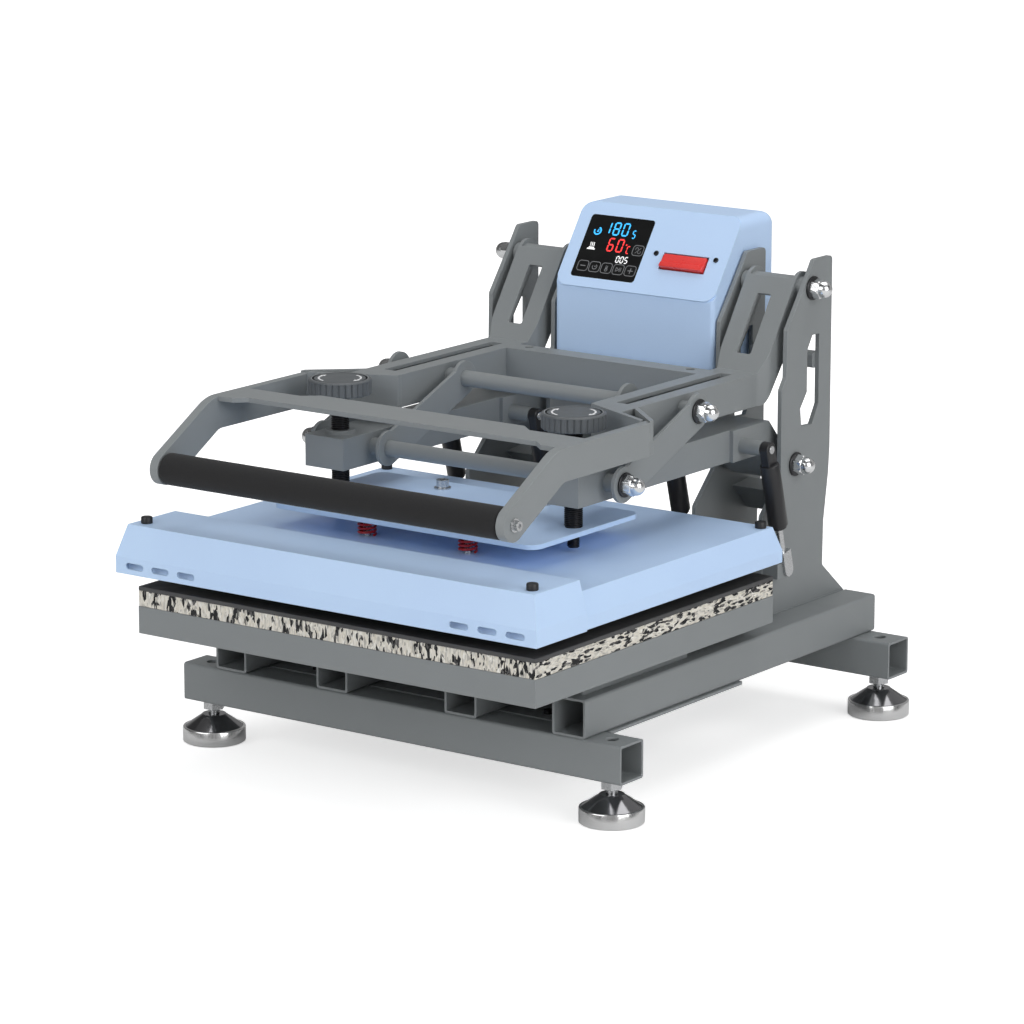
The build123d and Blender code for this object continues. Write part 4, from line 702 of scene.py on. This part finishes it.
# The foam's outside dips and ripples a little along its length
half, steps = 210.5, 40
profile = [(11.0, -half), (14.6, -half), (15.8, -half + 0.7), (16.4, -half + 2.0)]
for i in range(steps + 1):
    dip = 0.10 * math.sin(math.pi * i / steps) - 0.05 * math.sin(i * 1.7)
    profile.append((16.45 - dip, -half + 4 + (2 * half - 8) * i / steps))
profile += [(16.4, half - 2.0), (15.8, half - 0.7), (14.6, half), (11.0, half)]
bm = bmesh.new()
lathe(bm, profile, toward((0, *GRIP), (1, 0, 0)), 64)
piece = add_piece("foam_sleeve", bm, foam, "lever", 40.0)
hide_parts("foam_grip")


# Control panel: everything below is placed by (across, up) on the slanted face
PANEL_ORIGIN = Vector((0.0, 205.5, 444.8))
PANEL_ANGLE = math.atan2(84.2, 58.5)
panel_up = Vector((0, math.cos(PANEL_ANGLE), math.sin(PANEL_ANGLE)))
panel_out = Vector((0, -math.sin(PANEL_ANGLE), math.cos(PANEL_ANGLE)))
panel = Matrix((Vector((1, 0, 0)), panel_up, panel_out)).transposed().to_4x4()
panel.translation = PANEL_ORIGIN
glass_top = max((v.co / MM - PANEL_ORIGIN).dot(panel_out) for v in nodes["display_screen"].data.vertices)

SCREEN_LEFT, SCREEN_TOP, SCREEN_W, SCREEN_H = -86.4, 86.2, 82.8, 74.9
FIGURE_LINE, SIGN_LINE = 1.75, 1.3
KEY_W, KEY_H, KEY_CORNER, KEY_LINE = 13.4, 11.9, 3.2, 0.75
prints = {lit_blue: bmesh.new(), lit_red: bmesh.new(), lit_white: bmesh.new(), key_line: bmesh.new()}


def spot(u, v):
    """Panel place of a point on the screen, from shares across and down."""
    return SCREEN_LEFT + u * SCREEN_W, SCREEN_TOP - v * SCREEN_H


def stroke(material, a, b, width, pointed=False):
    """A straight line between two panel places, with square or pointed ends."""
    a, b = Vector(a), Vector(b)
    d = (b - a).normalized()
    n = Vector((-d.y, d.x)) * width / 2
    t = d * width / 2
    if pointed:
        shape = [a, a + t - n, b - t - n, b, b - t + n, a + t + n]
    else:
        shape = [a - n, b - n, b + n, a + n]
    prism(prints[material], [tuple(p) for p in shape], glass_top - 0.02, glass_top + 0.06, panel)


SEGMENTS = {"0": "abcdef", "1": "bc", "5": "afgcd", "6": "afgecd", "8": "abcdefg", "c": "afed"}


def digit(material, figure, left, top, right, bottom, width):
    """A seven-segment figure that fills a box, in shares across and down the screen."""
    x, y = spot(left, bottom)
    x, y = x + width / 2, y + width / 2
    w = max(0.0, (right - left) * SCREEN_W - width)
    h = (bottom - top) * SCREEN_H - width

    def at(px, py):
        return (x + px * w, y + py * h)

    lines = {
        "a": ((0, 1), (1, 1)), "b": ((1, 1), (1, 0.5)), "c": ((1, 0.5), (1, 0)), "d": ((0, 0), (1, 0)),
        "e": ((0, 0), (0, 0.5)), "f": ((0, 0.5), (0, 1)), "g": ((0, 0.5), (1, 0.5)),
    }
    for segment in SEGMENTS[figure]:
        (ax, ay), (bx, by) = lines[segment]
        a, b = Vector(at(ax, ay)), Vector(at(bx, by))
        gap = (b - a).normalized() * width * 0.12
        stroke(material, a + gap, b - gap, width, True)


def arc(material, cx, cy, radius, start, end, width, steps=14):
    """A curved line about a panel place, from one angle to another in degrees."""
    angles = [math.radians(start + (end - start) * i / steps) for i in range(steps + 1)]
    points = [(cx + radius * math.cos(a), cy + radius * math.sin(a)) for a in angles]
    for a, b in zip(points, points[1:]):
        stroke(material, a, b, width)


def key(cx, cy):
    """The rounded outline of one key."""
    w, h = KEY_W / 2, KEY_H / 2
    x, y = w - KEY_CORNER, h - KEY_CORNER
    for px, py, start in ((x, y, 0), (-x, y, 90), (-x, -y, 180), (x, -y, 270)):
        arc(key_line, cx + px, cy + py, KEY_CORNER, start, start + 90, KEY_LINE, 6)
    for (ax, ay), (bx, by) in (
        ((-x, h), (x, h)), ((-x, -h), (x, -h)), ((-w, -y), (-w, y)), ((w, -y), (w, y)),
    ):
        stroke(key_line, (cx + ax, cy + ay), (cx + bx, cy + by), KEY_LINE)


# Time row
digit(lit_blue, "1", 0.340, 0.094, 0.364, 0.294, FIGURE_LINE)
digit(lit_blue, "8", 0.405, 0.090, 0.510, 0.303, FIGURE_LINE)
digit(lit_blue, "0", 0.546, 0.087, 0.650, 0.301, FIGURE_LINE)
digit(lit_blue, "5", 0.718, 0.186, 0.774, 0.320, SIGN_LINE)
cx, cy = spot(0.173, 0.258)
arc(lit_blue, cx, cy, 4.2, -200, 75, 1.7)
stroke(lit_blue, (cx + 1.4, cy + 2.4), (cx - 0.4, cy - 1.0), 1.0)
stroke(lit_blue, (cx - 0.4, cy - 1.0), (cx + 2.2, cy - 0.2), 1.0)
# Heat row
digit(lit_red, "6", 0.403, 0.341, 0.502, 0.560, FIGURE_LINE)
digit(lit_red, "0", 0.544, 0.343, 0.648, 0.560, FIGURE_LINE)
digit(lit_red, "c", 0.712, 0.438, 0.768, 0.566, SIGN_LINE)
cx, cy = spot(0.692, 0.430)
arc(lit_red, cx, cy, 0.7, 0, 360, 0.7, 10)
cx, cy = spot(0.168, 0.503)
stroke(lit_white, (cx - 5.2, cy - 3.4), (cx + 5.2, cy - 3.4), 1.5)
stroke(lit_white, (cx - 3.4, cy - 1.8), (cx + 3.4, cy - 1.8), 1.8)
for dx in (-2.2, 0.0, 2.2):
    arc(lit_white, cx + dx - 0.8, cy + 1.2, 1.2, -60, 60, 0.9, 5)
    arc(lit_white, cx + dx + 0.8, cy + 3.4, 1.2, 120, 240, 0.9, 5)
# Count row
for index, figure in enumerate("005"):
    digit(lit_white, figure, 0.606 + 0.066 * index, 0.612, 0.661 + 0.066 * index, 0.722, 1.15)
# Keys, with their signs: crossed out above, and minus, timer, thermometer, start and pause, plus below
cx, cy = spot(0.894, 0.494)
key(cx, cy)
stroke(key_line, (cx - 3.2, cy - 3.4), (cx + 3.2, cy + 3.4), 0.6)
arc(key_line, cx - 1.9, cy + 1.8, 1.7, -30, 230, 0.6, 8)
arc(key_line, cx + 1.9, cy - 1.8, 1.7, 150, 410, 0.6, 8)
for index, u in enumerate((0.141, 0.327, 0.513, 0.700, 0.888)):
    cx, cy = spot(u, 0.822)
    key(cx, cy)
    if index == 0:
        stroke(key_line, (cx - 3.4, cy), (cx + 3.4, cy), 1.0)
    elif index == 1:
        arc(key_line, cx, cy, 2.9, -210, 60, 0.8)
        stroke(key_line, (cx, cy + 1.7), (cx, cy), 0.6)
        stroke(key_line, (cx, cy), (cx + 1.4, cy + 0.4), 0.6)
    elif index == 2:
        arc(key_line, cx, cy - 2.0, 1.6, -230, 50, 0.7)
        stroke(key_line, (cx - 1.0, cy - 0.8), (cx - 1.0, cy + 3.0), 0.6)
        stroke(key_line, (cx + 1.0, cy - 0.8), (cx + 1.0, cy + 3.0), 0.6)
        stroke(key_line, (cx, cy - 2.0), (cx, cy + 1.2), 0.7)
    elif index == 3:
        for a, b in (((-3.0, 2.4), (-3.0, -2.4)), ((-3.0, 2.4), (0.6, 0.0)), ((-3.0, -2.4), (0.6, 0.0)),
                     ((1.6, 2.4), (1.6, -2.4)), ((3.2, 2.4), (3.2, -2.4))):
            stroke(key_line, (cx + a[0], cy + a[1]), (cx + b[0], cy + b[1]), 0.7)
    else:
        stroke(key_line, (cx - 3.4, cy), (cx + 3.4, cy), 1.0)
        stroke(key_line, (cx, cy - 3.4), (cx, cy + 3.4), 1.0)
for material, bm in prints.items():
    add_piece("display_" + material.name, bm, material, "frame")

# Rocker: a long key whose lower part stands out as a lip
rocker_frame = Matrix((panel_up, panel_out, Vector((1, 0, 0)))).transposed().to_4x4()
rocker_frame.translation = panel @ Vector((49.8, 41.0, 1.0))
section = [
    (-8.4, -4.6), (8.4, -4.6), (8.4, 1.8), (7.9, 2.4), (4.0, 3.4), (-1.0, 3.9), (-1.9, 3.9), (-2.8, 5.2),
    (-7.2, 6.2), (-8.0, 6.0), (-8.4, 5.1),
]
ROCKER_HALF, ROCKER_HIGH = 8.4, 6.2
bm = bmesh.new()
rings = []
for z, shrink in ((-27.4, 0.9), (-26.9, 0.2), (-26.2, 0.0), (26.2, 0.0), (26.9, 0.2), (27.4, 0.9)):
    rings.append([(x * (1 - shrink / ROCKER_HALF), y * (1 - shrink / ROCKER_HIGH), z) for x, y in section])
rings_mesh(bm, rings, rocker_frame)
piece = add_piece("power_rocker_ridged", bm, red_plastic, "rocker", 30.0)
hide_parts("power_rocker")

# Panel screws: button heads with a socket
bm = bmesh.new()
panel_face = max((v.co / MM - PANEL_ORIGIN).dot(panel_out) for v in nodes["control_panel"].data.vertices)
for x in (11.6, 88.0):
    place = panel @ Matrix.Translation((x, 48.8, panel_face))
    rings = [circle(radius, z, 48) for z, radius in ((0.0, 3.0), (0.7, 2.95), (1.15, 2.6), (1.45, 2.0))]
    rings += [[(px, py, z) for px, py in hex_ring(2.4, 2.0, 48)] for z in (1.45, 0.5)]
    rings_mesh(bm, rings, place)
    lathe(bm, [(1.4, -7.9), (1.4, 0.1)], place, 24)
piece = add_piece("panel_screws_socketed", bm, black_oxide, "frame", 30.0)
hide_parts("panel_screws")


# Floor, world and lights
def floor():
    """A pale disc that keeps the shadows and turns white with distance, for the camera only."""
    s = Shader("pale_floor")
    s.set(Roughness=0.9)
    s.bsdf.inputs["Base Color"].default_value = (0.80, 0.80, 0.80, 1.0)
    s.bsdf.inputs["Specular IOR Level"].default_value = 0.1
    path = s.node("ShaderNodeLightPath")
    distance = s.node("ShaderNodeVectorMath", operation="LENGTH")
    s.link(s.coord, distance.inputs[0])
    near, far = 0.5, 2.2
    level = s.remap(distance.outputs["Value"], near, far, 0.62, 0.95)
    seen = s.node("ShaderNodeMath", operation="MULTIPLY")
    s.link(path.outputs["Is Camera Ray"], seen.inputs[0])
    s.link(level, seen.inputs[1])
    glow = s.node("ShaderNodeEmission")
    glow.inputs["Color"].default_value = (1.0, 1.0, 1.0, 1.0)
    s.link(seen.outputs[0], glow.inputs["Strength"])
    total = s.node("ShaderNodeAddShader")
    s.link(s.bsdf.outputs[0], total.inputs[0])
    s.link(glow.outputs[0], total.inputs[1])
    s.link(total.outputs[0], s.tree.nodes["Material Output"].inputs["Surface"])
    bm = bmesh.new()
    bmesh.ops.create_circle(bm, cap_ends=True, radius=30.0, segments=96)
    mesh = bpy.data.meshes.new("floor")
    bm.to_mesh(mesh)
    bm.free()
    mesh.materials.append(s.mat)
    made = bpy.data.objects.new("floor", mesh)
    scene.collection.objects.link(made)


floor()

world = bpy.data.worlds.new("studio")
scene.world = world
world.use_nodes = True
tree = world.node_tree
background = tree.nodes["Background"]
path = tree.nodes.new("ShaderNodeLightPath")
seen = tree.nodes.new("ShaderNodeMath")
seen.operation = "MAXIMUM"
tree.links.new(path.outputs["Is Camera Ray"], seen.inputs[0])
tree.links.new(path.outputs["Is Transmission Ray"], seen.inputs[1])
strength = tree.nodes.new("ShaderNodeMapRange")
strength.inputs["To Min"].default_value = 0.33
strength.inputs["To Max"].default_value = 1.0
tree.links.new(seen.outputs[0], strength.inputs["Value"])
tree.links.new(strength.outputs["Result"], background.inputs["Strength"])
# Reflections see soft dark and light bands round the studio
bands = tree.nodes.new("ShaderNodeTexNoise")
bands.inputs["Scale"].default_value = 1.1
bands.inputs["Detail"].default_value = 1.0
tree.links.new(tree.nodes.new("ShaderNodeTexCoord").outputs["Generated"], bands.inputs["Vector"])
tone = tree.nodes.new("ShaderNodeValToRGB")
for element, place, value in zip(tone.color_ramp.elements, (0.42, 0.58), (0.24, 1.0)):
    element.position = place
    element.color = (value, value, value, 1.0)
tree.links.new(bands.outputs["Fac"], tone.inputs["Fac"])
banded = tree.nodes.new("ShaderNodeMix")
banded.data_type = "RGBA"
banded.inputs[6].default_value = (1.0, 1.0, 1.0, 1.0)
tree.links.new(path.outputs["Is Glossy Ray"], banded.inputs["Factor"])
tree.links.new(tone.outputs["Color"], banded.inputs[7])
tree.links.new(banded.outputs[2], background.inputs["Color"])


def area(name, place, target, size, power):
    """A rectangular light that faces a point."""
    light = bpy.data.lights.new(name, "AREA")
    light.shape = "RECTANGLE"
    light.size, light.size_y = size
    light.energy = power
    made = bpy.data.objects.new(name, light)
    made.location = place
    made.rotation_mode = "QUATERNION"
    made.rotation_quaternion = (Vector(target) - Vector(place)).to_track_quat("-Z", "Y")
    scene.collection.objects.link(made)


area("key_right", (3.4, -0.9, 1.6), (0, 0, 0.3), (2.4, 2.4), 56)
area("fill_front", (-0.6, -3.6, 1.9), (0, 0, 0.3), (3.0, 2.2), 50)
area("top", (0.2, 0.6, 3.2), (0, 0.1, 0.2), (2.6, 2.6), 37)

scene.view_settings.view_transform = "Standard"
